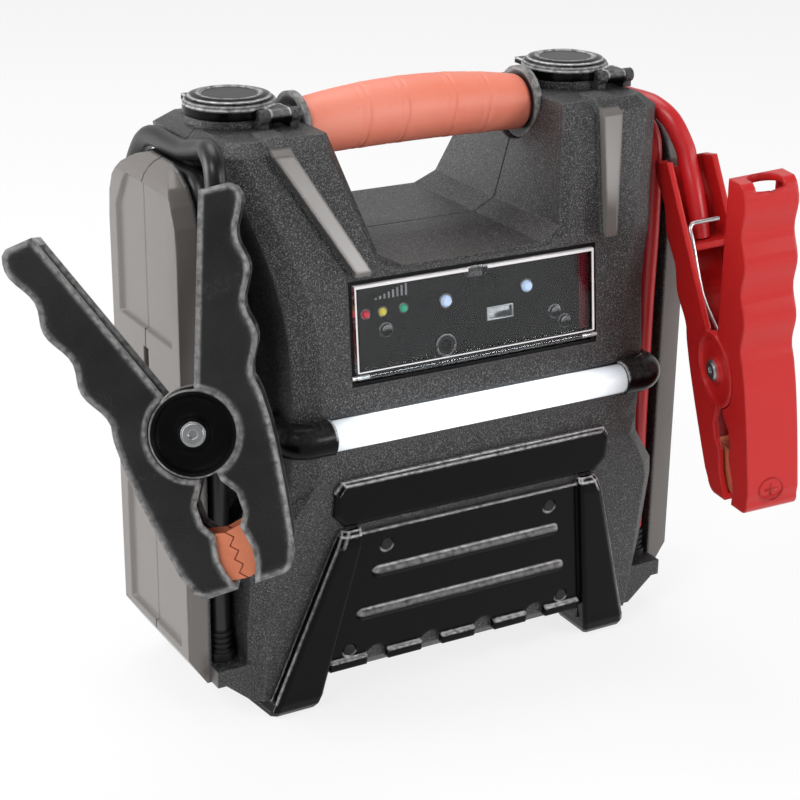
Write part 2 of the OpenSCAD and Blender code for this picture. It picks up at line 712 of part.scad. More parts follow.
module control_panel() {
  color("#17181a") at_seam() on_panel() difference() {
    union() {
      block([tray_w, tray_h, tray_d], [0, 0, -tray_d / 2]);
      block([tray_w + 8, tray_h, 2], [0, 0, -wall * cos(panel_tilt) - 1]);
    }
    block([cover_w + 2 * pocket_gap, cover_h + 2 * pocket_gap, 2 * panel_sunk], [0, 0, 0]);
    difference() {
      translate([0, 0, plate_back - 20]) block([tray_w - 2 * rim_t, tray_h - 2 * rim_t, 40], [0, 0, 0]);
      for (x = [-52, 52]) for (y = [-14, 14]) translate([x, y, board_face])
        cylinder(h = 20, r = 2.6, $fn = 24);
    }
    panel_holes(0.1);
    for (p = [tester_at, light_button_at, usb_button_at]) translate([p.x, p.y, -9])
      cylinder(h = 9, r = button_r + fit, $fn = 32);
    translate([jack_at.x, jack_at.y, -9]) cylinder(h = 9, r = jack_r + jack_wall + 0.1, $fn = 32);
    block([usb_size.x + 0.3, usb_size.y + 0.3, 12], [usb_at.x, usb_at.y, plate_back]);
    translate([-far / 2, hinge_y, hinge_n]) rotate([0, 90, 0]) cylinder(h = far, r = cover_pin_r, $fn = 24);
  }
}

barrel_r = 1.6;
module panel_cover() {
  reach = cover_h / 2 - hinge_y;
  color([0.75, 0.8, 0.85, 0.35]) at_seam() on_panel() difference() {
    union() {
      block([cover_w, reach, cover_t], [0, hinge_y + reach / 2, hinge_n]);
      translate([-cover_w / 2, hinge_y, hinge_n]) rotate([0, 90, 0])
        cylinder(h = cover_w, r = barrel_r, $fn = 24);
      // Raised lip round the edge and a thumb tab over the catch
      difference() {
        block([cover_w, reach - 2, 1.4], [0, hinge_y + reach / 2 + 1, hinge_n + cover_t / 2]);
        block([cover_w - 3, reach - 5, 4], [0, hinge_y + reach / 2 + 1, hinge_n + cover_t / 2]);
      }
      block([9, 3.2, 1.6], [0, cover_h / 2 - 1.6, hinge_n + cover_t / 2 + 0.5]);
    }
    translate([-far / 2, hinge_y, hinge_n]) rotate([0, 90, 0])
      cylinder(h = far, r = cover_pin_r + fit, $fn = 24);
  }
}

module cover_hinge_pins() {
  color("silver") at_seam() on_panel() both_sides() translate([cover_w / 2 - 6, hinge_y, hinge_n])
    rotate([0, 90, 0]) cylinder(h = 6 + pocket_gap + rim_t, r = cover_pin_r, $fn = 24);
}

module cover_catch() {
  top = cover_back - free_gap;
  color("#26272a") at_seam() on_panel()
    block([7, 4, top + panel_sunk], [0, cover_h / 2 - 2.6, (top - panel_sunk) / 2]);
}

module lamp(p, r, tint) {
  color(tint) at_seam() on_panel() translate([p.x, p.y, 0]) {
    translate([0, 0, plate_back - 1]) cylinder(h = 1, r = r + 0.6, $fn = 32);
    translate([0, 0, plate_back]) cylinder(h = plate_t + 0.2, r = r, $fn = 32);
    translate([0, 0, -panel_sunk + 0.2]) intersection() {
      sphere(r = r, $fn = 32);
      cylinder(h = r * 0.8, r = 2 * r, $fn = 32);
    }
    for (x = [-0.6, 0.6] * r) translate([x, 0, board_face])
      cylinder(h = plate_back - 1 - board_face, r = 0.4, $fn = 16);
  }
}
module level_led_red() { lamp([level_lamps[0], level_y], level_r, "#c02030"); }
module level_led_yellow() { lamp([level_lamps[1], level_y], level_r, "#d8c23a"); }
module level_led_green() { lamp([level_lamps[2], level_y], level_r, "#2f8f5a"); }
module charge_led() { lamp(charge_lamp, lamp_r, "#cfe0f4"); }
module light_led() { lamp(light_lamp, lamp_r, "#e8eefc"); }

collar_h = 1;
module push_button(p) {
  top = -panel_sunk + 1.4;
  under = plate_back - free_gap;
  color("#2a2b2e") at_seam() on_panel() translate([p.x, p.y, 0]) {
    translate([0, 0, under]) cylinder(h = top - under, r = button_r, $fn = 32);
    translate([0, 0, under - collar_h]) cylinder(h = collar_h, r = button_r + 0.8, $fn = 32);
  }
}
module tester_button() { push_button(tester_at); }
module light_button() { push_button(light_button_at); }
module usb_button() { push_button(usb_button_at); }

module usb_port() {
  top = -panel_sunk + 0.3;
  color("#c9ccd0") at_seam() on_panel() translate([usb_at.x, usb_at.y, 0]) {
    difference() {
      block([usb_size.x, usb_size.y, top - board_face], [0, 0, (top + board_face) / 2]);
      block([usb_size.x - 1, usb_size.y - 1, 8.6], [0, 0, top - 3.3]);
    }
    block([usb_size.x - 2, 1.8, 6.2], [0, 0.9, top - 7.6 + 3.1]);
  }
}

module charging_jack() {
  top = -panel_sunk + 0.3;
  color("#1a1a1c") at_seam() on_panel() translate([jack_at.x, jack_at.y, 0]) {
    difference() {
      union() {
        translate([0, 0, board_face]) cylinder(h = top - board_face, r = jack_r + jack_wall, $fn = 32);
        block([2 * (jack_r + jack_wall), 2 * (jack_r + jack_wall), 5],
          [0, 0, board_face + 2.5]);
      }
      translate([0, 0, top - 8]) cylinder(h = 9, r = jack_r, $fn = 32);
    }
    translate([0, 0, top - 8]) cylinder(h = 7, r = 0.95, $fn = 16);
  }
}

module circuit_board() {
  back = board_face - board_t;
  board_w = tray_w - 2 * rim_t - 2 * free_gap;
  switch_top = plate_back - free_gap - collar_h - button_travel - free_gap;
  color("#1f5a3a") at_seam() on_panel() {
    block([board_w, tray_h - 2 * rim_t - 2 * free_gap, board_t], [0, 0, board_face - board_t / 2]);
    for (p = [tester_at, light_button_at, usb_button_at])
      block([6, 6, switch_top - board_face], [p.x, p.y, (switch_top + board_face) / 2]);
    block([30, 26, 20], [-34, -2, back - 10]);
    block([20, 16, 14], [2, 6, back - 7]);
    for (x = [18, 28, 38]) translate([x, -8, back - 16]) cylinder(h = 16, r = 4, $fn = 32);
    block([24, 3, 18], [30, 12, back - 9]);
    for (x = [46, 51]) block([3, 10, 9], [x, 4, back - 4.5]);
  }
}

// ---- Light ----

module light_tube() {
  l = tube_l + 2 * tube_grip;
  color([0.93, 0.96, 1, 0.6]) at_seam() translate([-l / 2, -tube_depth, tube_z]) rotate([0, 90, 0])
    difference() {
      cylinder(h = l, r = tube_r, $fn = 48);
      translate([0, 0, -over]) cylinder(h = l + 2 * over, r = tube_r - tube_t, $fn = 48);
    }
}

module led_strip() {
  w = 1.7 * (tube_r - tube_t);
  back = sqrt(pow(tube_r - tube_t - 0.05, 2) - pow(w / 2, 2));
  l = tube_l + 2 * tube_grip - 4;
  color("white") at_seam() translate([0, -tube_depth, tube_z]) {
    block([l, 1.2, w], [0, back - 0.6, 0]);
    for (i = [-7:7]) block([5, 1.2, 3.4], [i * tube_l / 15, back - 1.8, 0]);
  }
}

// End mount: a short collar, then an elbow that runs back along the casing's side
module light_mount() {
  bend = mount_r + 0.6;
  start = tube_l / 2;
  elbow = start + tube_grip + 3.6;
  difference() {
    translate([0, -tube_depth, tube_z]) {
      translate([start, 0, 0]) rotate([0, 90, 0]) cylinder(h = elbow - start, r = mount_r, $fn = 48);
      translate([elbow, bend, 0]) rotate([0, 0, -90]) rotate_extrude(angle = 90, $fn = 64)
        translate([bend, 0]) circle(r = mount_r, $fn = 48);
      translate([elbow + bend, bend, 0]) rotate([-90, 0, 0]) cylinder(h = 13, r = mount_r, $fn = 48);
    }
    casing_loft(0);
    translate([start - over, -tube_depth, tube_z]) rotate([0, 90, 0])
      cylinder(h = tube_grip + over, r = tube_r, $fn = 48);
  }
}
module light_mount_right() { color("#1a1b1d") at_seam() light_mount(); }
module light_mount_left() { color("#1a1b1d") at_seam() mirror([1, 0, 0]) light_mount(); }

// ---- Handle ----

module handle_core() {
  color("#161618") at_seam() {
    handle_boss(core_r, -boss_end, boss_end);
    both_sides() handle_boss(collar_r, collar_in, collar_out);
  }
}

module handle_grip() {
  rings = 12;
  sides = 24;
  color("#e2553a") at_seam() difference() {
    skin([for (i = [0:rings]) let (t = 2 * i / rings - 1, bulge = 1 - t * t,
        r = grip_end_r + grip_swell * bulge)
      [for (k = [0:sides - 1]) [t * grip_l / 2, r * cos(360 * k / sides),
        handle_z + grip_rise * bulge + r * sin(360 * k / sides)]]]);
    handle_boss(core_r, -far / 2, far / 2);
  }
}

// ---- Sockets and lids ----

module lid_barrel(x0, x1, r) {
  translate([x0, lid_hinge.x, lid_hinge.y]) rotate([0, 90, 0]) cylinder(h = x1 - x0, r = r, $fn = 32);
}

// A socket about its own axis, with X and Z in the casing's frame
module socket() {
  difference() {
    union() {
      translate([0, socket_y, tower_top]) cylinder(h = bezel_h, r = bezel_r, $fn = 72);
      translate([0, socket_y, tower_top - socket_l])
        cylinder(h = socket_l + over, r = socket_r + barrel_t, $fn = 64);
      for (x = [knuckle_x[0], knuckle_x[1] - ear_w]) {
        lid_barrel(x, x + ear_w, lid_barrel_r);
        translate([x, lid_hinge.x - 1, tower_top])
          cube([ear_w, socket_y - 8 - lid_hinge.x + 1, bezel_h]);
        translate([x, lid_hinge.x - 1, tower_top]) cube([ear_w, lid_barrel_r, lid_hinge.y - tower_top]);
      }
    }
    translate([0, socket_y, tower_top - socket_l + 3]) cylinder(h = far, r = socket_r, $fn = 64);
    translate([0, socket_y, tower_top]) cylinder(h = far, r = mouth_r, $fn = 64);
    lid_barrel(-far, far, lid_pin_r);
    // Room for the lid's knuckle to turn
    lid_barrel(knuckle_x[0] + ear_w, knuckle_x[1] - ear_w, lid_barrel_r + 2 * free_gap);
  }
}

module lid() {
  base = tower_top + bezel_h + lid_gap;
  top = base + lid_h;
  x0 = knuckle_x[0] + ear_w + free_gap;
  x1 = knuckle_x[1] - ear_w - free_gap;
  plug_r = mouth_r - 0.6;
  difference() {
    union() {
      translate([0, socket_y, 0]) rotate_extrude($fn = 72) polygon([[0, base], [lid_r, base],
        [lid_r, top - 4], [lid_r - 0.7, top - 2.8], [lid_r - 2.6, top - 1.2], [lid_r - 6, top - 0.4],
        [0, top]]);
      translate([0, socket_y, base - 3]) cylinder(h = 3 + over, r = plug_r, $fn = 48);
      lid_barrel(x0, x1, lid_barrel_r);
      translate([x0, lid_hinge.x, base]) cube([x1 - x0, 8, lid_hinge.y + lid_barrel_r - base]);
      // Thumb tab at the back
      translate([-11, socket_y + lid_r - 5, base + 1]) cube([11, 10, 2.6]);
    }
    lid_barrel(-far, far, lid_pin_r + fit);
    for (x = [knuckle_x[0] - free_gap, knuckle_x[1] - ear_w - free_gap])
      lid_barrel(x, x + ear_w + 2 * free_gap, lid_barrel_r + 2 * free_gap);
    translate([0, socket_y, base - 3 - over]) cylinder(h = 6 + over, r = plug_r - 2.4, $fn = 48);
    // Sunk field on the lid's crown
    translate([0, socket_y, top - 0.9]) cylinder(h = 3, r = lid_r - 7, $fn = 72);
  }
}

module socket_left() { color("#151517") at_seam() translate([-socket_x, 0, 0]) socket(); }
module socket_right() { color("#151517") at_seam() translate([socket_x, 0, 0]) socket(); }
module lid_left() { color("#1b1c1e") at_seam() translate([-socket_x, 0, 0]) lid(); }
module lid_right() { color("#1b1c1e") at_seam() translate([socket_x, 0, 0]) lid(); }
module lid_hinge_pins() {
  color("silver") at_seam() for (x = [-socket_x, socket_x])
    translate([x, 0, 0]) lid_barrel(knuckle_x[0], knuckle_x[1], lid_pin_r);
}

// ---- Inside ----

module battery() {
  top = floor_z + battery_h;
  color("#3c3f45") at_seam() {
    difference() {
      block([battery_w, battery_d, battery_h], [0, 0, floor_z + battery_h / 2]);
      for (side = [-1, 1]) block([battery_w + over, 1.2, 1.2], [0, side * battery_d / 2, top - 8]);
    }
    for (x = [-1, 1]) block([8, 6, 5], [x * (battery_w / 2 - 12), -battery_d / 2 + 16, top + 2.5]);
  }
}

module battery_strap() {
  in_x = battery_w / 2;
  in_z = floor_z + battery_h;
  foot = 10;
  color("#a9acb0") at_seam() translate([0, strap_w / 2 - 1, 0]) slab(strap_w) polygon([
    [-in_x - foot, floor_z], [-in_x, floor_z], [-in_x, in_z], [in_x, in_z], [in_x, floor_z],
    [in_x + foot, floor_z], [in_x + foot, floor_z + strap_t], [in_x + strap_t, floor_z + strap_t],
    [in_x + strap_t, in_z + strap_t], [-in_x - strap_t, in_z + strap_t],
    [-in_x - strap_t, floor_z + strap_t], [-in_x - foot, floor_z + strap_t]]);
}

// ---- Cables ----

gland_at = [body_w / 2 - 17, -31];
gland_stem = 6;
gland_r = 6.2;
module cable_gland() {
  translate([gland_at.x, gland_at.y, shelf_z]) {
    translate([0, 0, -gland_stem]) cylinder(h = gland_stem + over, r = gland_r - 1.6, $fn = 32);
    cylinder(h = 4, r = gland_r, $fn = 48);
    for (i = [0:3]) translate([0, 0, 4 + i * (gland_h - 4) / 4]) {
      cylinder(h = (gland_h - 4) / 4, r = cable_d / 2 - 0.2, $fn = 48);
      cylinder(h = (gland_h - 4) / 8, r = cable_d / 2 + 0.7, $fn = 48);
    }
  }
}
module cable_gland_right() { color("#111") at_seam() cable_gland(); }
module cable_gland_left() { color("#111") at_seam() mirror([1, 0, 0]) cable_gland(); }
module red_cable() { color("#c8202a") at_seam() tube(red_route, cable_d / 2, 8); }
module black_cable() { color("#26272a") at_seam() tube(black_route, cable_d / 2, 8); }

// ---- Clamps, in their own frame: X opens, Y along the pivot, Z up to the handles ----

wave_pitch = 26.2;
wave_top = 80.5;
cable_end = 52;     // height at which the cable stops inside its half
rib_in = 22;        // inner edge of the rib under the cable's end
pivot_half = 30;    // half width across the pivot
jaw_half = 21;      // half width at the jaws' ends
tip_half = 49.5;    // half width at the handle tips
inner_slope = 0.377; // how far the inner edges spread for each unit of height

function wave(z) = z > 2 && z < wave_top + wave_pitch / 2
  ? wave_d * cos(360 * (z - wave_top) / wave_pitch) * min(1, (z - 2) / 10) : 0;
function clamp_outer(z) = z < 0
  ? mix(pivot_half, jaw_half, pow(-z / jaw_l, 1.4))
  : mix(pivot_half, tip_half, (z - 6) / 88) + wave(z) - wave_d * min(1, z / 12) * 0.5;
function clamp_inner(z) = 5 + (z - 14) * inner_slope;

function half_outline(length) = concat(
  [for (z = [length - 5:-3:-jaw_l + 8]) [clamp_outer(z), z]],
  [for (a = [0:-22.5:-90]) [jaw_half - 6 + 6 * cos(a), -jaw_l + 6 + 6 * sin(a)]],
  [[3.5, -jaw_l], [6, -jaw_l + 7], [7, -50], [5.2, -40], [8.3, -35], [8.3, -27], [4, -20.5],
   [3, -12], [3, 10], [5, 14], [clamp_inner(length), length + 1],
   [clamp_outer(length - 5) - 3, length], [clamp_outer(length - 5) - 0.8, length - 2]]);
// The hollow runs past the open inner side
function half_hollow(length) = concat(
  [for (z = [length - clamp_t - 3:-3:-jaw_l + clamp_t]) [clamp_outer(z) - clamp_t, z]],
  [[clamp_outer(-jaw_l) - clamp_t - 3, -jaw_l + clamp_t], [-40, -jaw_l + clamp_t],
   [-40, length - clamp_t]],
  [[clamp_outer(length - 5) - clamp_t - 1, length - clamp_t]]);

wall_in = clamp_w / 2 - clamp_t;   // inner face of a side wall
ear_t = 2.6;
ear_out = wall_in - free_gap;
ear_r = 14;

module pivot_rod(r, y0, y1) {
  translate([0, y0, 0]) rotate([-90, 0, 0]) cylinder(h = y1 - y0, r = r, $fn = 48);
}

module clamp_body(length, closed) {
  difference() {
    slab(clamp_w) polygon(half_outline(length));
    slab(2 * wall_in) polygon(half_hollow(length + (closed ? 0 : 6)));
    // U notch in the end wall, between two hooks
    translate([clamp_inner(length) + 7, 0, length - 1]) cylinder(h = 8, r = 6.6, center = true, $fn = 48);
    block([30, 13.2, 8], [clamp_inner(length) + 22, 0, length]);
  }
}

// The half that holds the cable carries the pivot discs on its outside
disc_proud = 1;
module cable_half() {
  outer = clamp_w / 2;
  difference() {
    union() {
      clamp_body(cable_half_l, false);
      for (flip = [0, 1]) mirror([0, flip, 0]) pivot_rod(disc_r, wall_in, outer + disc_proud);
    }
    for (flip = [0, 1]) mirror([0, flip, 0]) difference() {
      pivot_rod(disc_r - 2, outer - 0.6, outer + 5);
      pivot_rod(rivet_r + 2.6, outer - 2, outer + 6);
    }
    pivot_rod(rivet_r, -far, far);
  }
  // Cross rib that the cable's end stands on
  rib_w = clamp_outer(cable_end) - clamp_t + 0.3 - rib_in;
  block([rib_w, 2 * wall_in + 0.2, 3], [rib_in + rib_w / 2, 0, cable_end - free_gap - 1.5]);
}

// The free half is relieved round the discs and turns on two inner ears
module free_half() {
  difference() {
    clamp_body(free_half_l, true);
    pivot_rod(disc_r + 2 * free_gap, -far, far);
  }
  difference() {
    for (flip = [0, 1]) mirror([0, flip, 0]) {
      pivot_rod(ear_r, ear_out - ear_t, ear_out);
      block([pivot_half - 1, ear_t, 20], [(pivot_half - 1) / 2, ear_out - ear_t / 2, 0]);
    }
    pivot_rod(rivet_r + fit, -far, far);
  }
  // Web behind the pivot, where the side walls are cut away
  intersection() {
    slab(clamp_w) polygon(half_outline(free_half_l));
    block([clamp_t + 1, clamp_w, 50], [pivot_half - clamp_t / 2, 0, 0]);
  }
}

// Copper jaw: a folded channel whose two edges are cut into teeth that mesh
jaw_half_w = wall_in - 1;
jaw_sheet = 1.2;
tooth_pitch = 5.6;
function tooth(z) = let (u = (z + jaw_l - clamp_t - 0.05) / tooth_pitch, v = u - floor(u)) abs(2 * v - 1) * 2 - 1;
module jaw(hand) {
  low = -jaw_l + clamp_t + 0.05;
  high = -jaw_l + 24;
  step = tooth_pitch / 2;
  edge = [for (z = [low:step:high]) [free_gap + hand * tooth(z) * tooth_h / 2, z]];
  back = clamp_t + 0.1;
  difference() {
    slab(2 * jaw_half_w) polygon(concat(edge,
      [[clamp_outer(high) - back - 3, high + 2], [clamp_outer(high - 4) - back, high - 4],
       [clamp_outer(low + 6) - back, low + 6], [clamp_outer(low + 4) - back - 5, low + 2]]));
    slab(2 * (jaw_half_w - jaw_sheet)) polygon([[-10, low - over], [clamp_outer(low + 6) - back - 1.4, low - over],
      [clamp_outer(high) - back - 1.4, high + 9], [-10, high + 9]]);
  }
}

module rivet() {
  face = clamp_w / 2 + disc_proud;
  difference() {
    union() {
      pivot_rod(rivet_r, -face, face);
      for (flip = [0, 1]) mirror([0, flip, 0]) {
        pivot_rod(rivet_r + 1.4, face, face + 0.9);
        pivot_rod(rivet_r + 0.6, face + 0.8, face + 1.5);
      }
    }
    for (flip = [0, 1]) mirror([0, flip, 0]) pivot_rod(1.8, face, face + 5);
  }
  difference() {
    pivot_rod(sleeve_r, -sleeve_half, sleeve_half);
    pivot_rod(rivet_r, -far, far);
  }
}

// Torsion spring: coil round the sleeve, a long leg with a cross bar, and a short leg
sleeve_r = rivet_r + 2.6;
coil_pitch = 2 * wire_r + 0.5;
coil_r = (sleeve_r + free_gap + wire_r) / cos(22.5);
coil_half = coil_turns * coil_pitch / 2;
sleeve_half = ear_out - ear_t - free_gap;
leg_y = wall_in - wire_r - free_gap;
function coil(steps) = [for (i = [0:steps]) let (u = i / steps, a = 90 + 360 * coil_turns * u)
  [coil_r * sin(a), -coil_half + 2 * coil_half * u, coil_r * cos(a)]];
function spring_path() = concat(
  [[-coil_r - 1.5, -coil_half - 0.2, 15], [-coil_r - 0.4, -coil_half - 0.1, 7]],
  [for (p = coil(round(coil_turns * 8))) [-p.x, p.y, p.z]],
  [[coil_r + 0.8, coil_half + 0.1, 8], [coil_r + 2.4, coil_half + 0.5, 14], [15.5, leg_y, 30], [21, leg_y, 53],
   [23, leg_y, 58.5],
   [23.6, leg_y - 1.2, 60.4], [23.8, leg_y - 3.4, 61], [23.8, -leg_y + 2, 61]]);
module spring() { tube(spring_path(), wire_r, 6); }

// Least gap between two points of the wire that are not close along it
path = spring_path();
turn_gap = min([for (i = [0:len(path) - 8]) for (j = [i + 7:len(path) - 1]) norm(path[i] - path[j])])
  - 2 * wire_r;
echo(spring_gap_mm = turn_gap);

module place(pose) {
  translate(pose[0]) rotate([0, 0, pose[1][0]]) rotate([pose[1][1], 0, 0]) rotate([0, pose[1][2], 0])
    children();
}
module black_clamp(tint) { color(tint) at_seam() place(black_pose) children(); }
module red_clamp(tint) { color(tint) at_seam() place(red_pose) children(); }

module black_cable_half() { black_clamp("#202124") cable_half(); }
module black_free_half() { black_clamp("#202124") mirror([1, 0, 0]) free_half(); }
module black_cable_jaw() { black_clamp("#c87850") jaw(1); }
module black_free_jaw() { black_clamp("#c87850") mirror([1, 0, 0]) jaw(-1); }
module black_rivet() { black_clamp("silver") rivet(); }
module black_spring() { black_clamp("silver") spring(); }
module red_cable_half() { red_clamp("#d6262c") cable_half(); }
module red_free_half() { red_clamp("#d6262c") mirror([1, 0, 0]) free_half(); }
module red_cable_jaw() { red_clamp("#c87850") jaw(1); }
module red_free_jaw() { red_clamp("#c87850") mirror([1, 0, 0]) jaw(-1); }
module red_rivet() { red_clamp("silver") rivet(); }
module red_spring() { red_clamp("silver") spring(); }

front_shell();
rear_shell();
front_guard();
guard_screws();
rear_feet();
name_bar();
control_panel();
panel_cover();
cover_hinge_pins();
cover_catch();
level_led_red();
level_led_yellow();
level_led_green();
charge_led();
light_led();
tester_button();
light_button();
usb_button();
usb_port();
charging_jack();
light_tube();
led_strip();
light_mount_left();
light_mount_right();
handle_core();
handle_grip();
socket_left();
socket_right();
lid_left();
lid_right();
lid_hinge_pins();
battery();
battery_strap();
circuit_board();
housing_screws();
cable_gland_left();
cable_gland_right();
black_cable();
red_cable();
black_cable_half();
black_free_half();
black_cable_jaw();
black_free_jaw();
black_rivet();
black_spring();
red_cable_half();
red_free_half();
red_cable_jaw();
red_free_jaw();
red_rivet();
red_spring();
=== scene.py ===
"""Jump starter pack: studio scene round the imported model, in metres."""
import json
import math

import bpy
from mathutils import Matrix, Vector


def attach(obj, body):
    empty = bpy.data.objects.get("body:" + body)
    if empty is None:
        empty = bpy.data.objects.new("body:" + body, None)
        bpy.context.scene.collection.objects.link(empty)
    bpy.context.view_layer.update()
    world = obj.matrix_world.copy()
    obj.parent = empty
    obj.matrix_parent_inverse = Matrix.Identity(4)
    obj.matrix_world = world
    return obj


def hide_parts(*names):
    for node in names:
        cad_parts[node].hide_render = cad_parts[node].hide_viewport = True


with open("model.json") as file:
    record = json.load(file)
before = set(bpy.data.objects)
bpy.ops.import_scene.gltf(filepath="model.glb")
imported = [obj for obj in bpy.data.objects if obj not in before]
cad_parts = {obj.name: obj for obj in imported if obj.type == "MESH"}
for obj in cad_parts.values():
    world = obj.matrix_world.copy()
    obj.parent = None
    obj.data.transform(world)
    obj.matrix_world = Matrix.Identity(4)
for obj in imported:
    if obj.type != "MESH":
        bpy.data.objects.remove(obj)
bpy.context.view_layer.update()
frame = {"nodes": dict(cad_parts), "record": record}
NODES = frame["nodes"]
MM = 0.001
SEAM_Y = 5.0  # the casing's seam, in millimetres behind the middle


def at(x, y, z):
    """A point given from the casing's seam, in millimetres."""
    return Vector((x, y + SEAM_Y, z)) * MM


def clamp_frame(pivot, turns):
    """A clamp's own frame: X opens, Y runs along the pivot, Z up to the handles."""
    turn, roll, lean = (math.radians(a) for a in turns)
    return (Matrix.Translation(at(*pivot)) @ Matrix.Rotation(turn, 4, "Z")
            @ Matrix.Rotation(roll, 4, "X") @ Matrix.Rotation(lean, 4, "Y"))


CLAMPS = {
    "black": clamp_frame((-135, -69, 153.4), (-28, -16, -18.8)),
    "red": clamp_frame((116.2, -93.7, 145.6), (76.5, -7, 6.4)),
}
# The control panel's frame: X across, Y up its face, Z out of it
PANEL = Matrix.Translation(at(0, -59.1, 177.4)) @ Matrix.Rotation(math.radians(84.4), 4, "X")
HERE = Matrix.Translation(at(0, 0, 0))  # the casing's own frame

# ---- Camera ----

CAMERA_AT = (-423.5, -733.2, 450.8)
CAMERA_FORWARD = (0.4627, 0.8072, -0.3665)
CAMERA_ROLL = math.radians(0.69)
LENS_MM = 89.35


def set_camera():
    """The camera from its place, its direction and its small roll."""
    forward = Vector(CAMERA_FORWARD).normalized()
    level = forward.cross(Vector((0, 0, 1))).normalized()
    upright = level.cross(forward)
    right = math.cos(CAMERA_ROLL) * level + math.sin(CAMERA_ROLL) * upright
    up = right.cross(forward)
    camera = bpy.data.objects.new("camera", bpy.data.cameras.new("camera"))
    camera.data.lens = LENS_MM
    camera.data.sensor_width = 36
    axes = Matrix((right, up, -forward)).transposed()
    camera.matrix_world = Matrix.Translation(at(*CAMERA_AT)) @ axes.to_4x4()
    bpy.context.scene.collection.objects.link(camera)
    bpy.context.scene.camera = camera


# ---- Shader helpers ----


def new_group(name, inputs, outputs):
    """An empty node group with named float sockets."""
    group = bpy.data.node_groups.new(name, "ShaderNodeTree")
    for label, value in inputs:
        socket = group.interface.new_socket(
            label, in_out="INPUT", socket_type="NodeSocketFloat")
        socket.default_value = value
    for label in outputs:
        group.interface.new_socket(
            label, in_out="OUTPUT", socket_type="NodeSocketFloat")
    return group, group.nodes.new("NodeGroupInput"), group.nodes.new("NodeGroupOutput")


def math_node(tree, operation, a, b=None, clamp=False):
    """A maths node over numbers or sockets."""
    node = tree.nodes.new("ShaderNodeMath")
    node.operation = operation
    node.use_clamp = clamp
    for slot, value in enumerate((a, b)):
        if value is None:
            continue
        if isinstance(value, (int, float)):
            node.inputs[slot].default_value = value
        else:
            tree.links.new(value, node.inputs[slot])
    return node.outputs[0]


def stretch(tree, value, factor, less):
    """A value times a factor, less an amount, kept from 0 to 1."""
    return math_node(tree, "SUBTRACT", math_node(tree, "MULTIPLY", value, factor), less,
                     clamp=True)


def smooth_step(tree, value, low, high):
    """0 below low, 1 above high, straight between."""
    return math_node(tree, "DIVIDE", math_node(tree, "SUBTRACT", value, low), high - low,
                     clamp=True)


def coordinates(tree, kind):
    """The X, Y and Z sockets of a texture coordinate."""
    where = tree.nodes.new("ShaderNodeTexCoord")
    parts = tree.nodes.new("ShaderNodeSeparateXYZ")
    tree.links.new(where.outputs[kind], parts.inputs[0])
    return parts.outputs


def noise(tree, scale, detail=2.0, rough=0.5):
    """Noise over the object's own coordinates; scale is a number or a socket."""
    where = tree.nodes.new("ShaderNodeTexCoord")
    node = tree.nodes.new("ShaderNodeTexNoise")
    node.inputs["Detail"].default_value = detail
    node.inputs["Roughness"].default_value = rough
    tree.links.new(where.outputs["Object"], node.inputs["Vector"])
    if isinstance(scale, (int, float)):
        node.inputs["Scale"].default_value = scale
    else:
        tree.links.new(scale, node.inputs["Scale"])
    return node.outputs[0]


def make_mould_grain():
    """Spark-eroded mould texture: rounded pits of one size, some smoother than others; Glint
    marks the specks that take a painted glint.
    """
    group, given, out = new_group("mould_grain", [("Size", 0.0012)], ["Height", "Glint"])
    scale = math_node(group, "DIVIDE", 1.0, given.outputs["Size"])
    where = group.nodes.new("ShaderNodeTexCoord")
    cells = group.nodes.new("ShaderNodeTexVoronoi")
    cells.feature = "SMOOTH_F1"
    cells.inputs["Smoothness"].default_value = 0.6
    group.links.new(where.outputs["Object"], cells.inputs["Vector"])
    group.links.new(scale, cells.inputs["Scale"])
    fine = noise(group, scale, 3.0, 0.6)
    height = math_node(group, "ADD", math_node(group, "MULTIPLY", cells.outputs[0], 0.7),
                       math_node(group, "MULTIPLY", fine, 0.6))
    group.links.new(height, out.inputs["Height"])
    group.links.new(stretch(group, fine, 6.0, 3.0), out.inputs["Glint"])
    return group


def make_handling():
    """Soft patches where hands and dust have changed the sheen."""
    group, given, out = new_group("handling", [("Patch", 0.03)], ["Smudge"])
    scale = math_node(group, "DIVIDE", 1.0, given.outputs["Patch"])
    broad = noise(group, scale, 4.0, 0.55)
    group.links.new(stretch(group, broad, 2.4, 0.7), out.inputs["Smudge"])
    return group


def make_edge_wear_and_highlight():
    """Edges made paler, as rubbed wear and as a painted highlight: Turn is how far the rounded
    normal leans from the flat one.
    """
    group, given, out = new_group("edge_wear_and_highlight", [("Turn", 0.0), ("Amount", 1.0)], ["Scuff"])
    edge = math_node(group, "MULTIPLY", given.outputs["Turn"], 5.0, clamp=True)
    broken = stretch(group, noise(group, 420.0, 3.0), 2.2, 0.35)
    scuff = math_node(group, "MULTIPLY", math_node(group, "MULTIPLY", edge, broken),
                      given.outputs["Amount"], clamp=True)
    group.links.new(scuff, out.inputs["Scuff"])
    return group


# Metres in the part's own coordinates, each pair from 0 to 1 of a mask
BUMPER_X = (0.1165, 0.1178)
SPINE_Z = (0.2005, 0.2025)
SPINE_PROUD = (0.0012, 0.0022)
BROW_FOOT_Z = 0.20367
BROW_SLOPE = -0.3558
BROW_FRONT = 0.05652


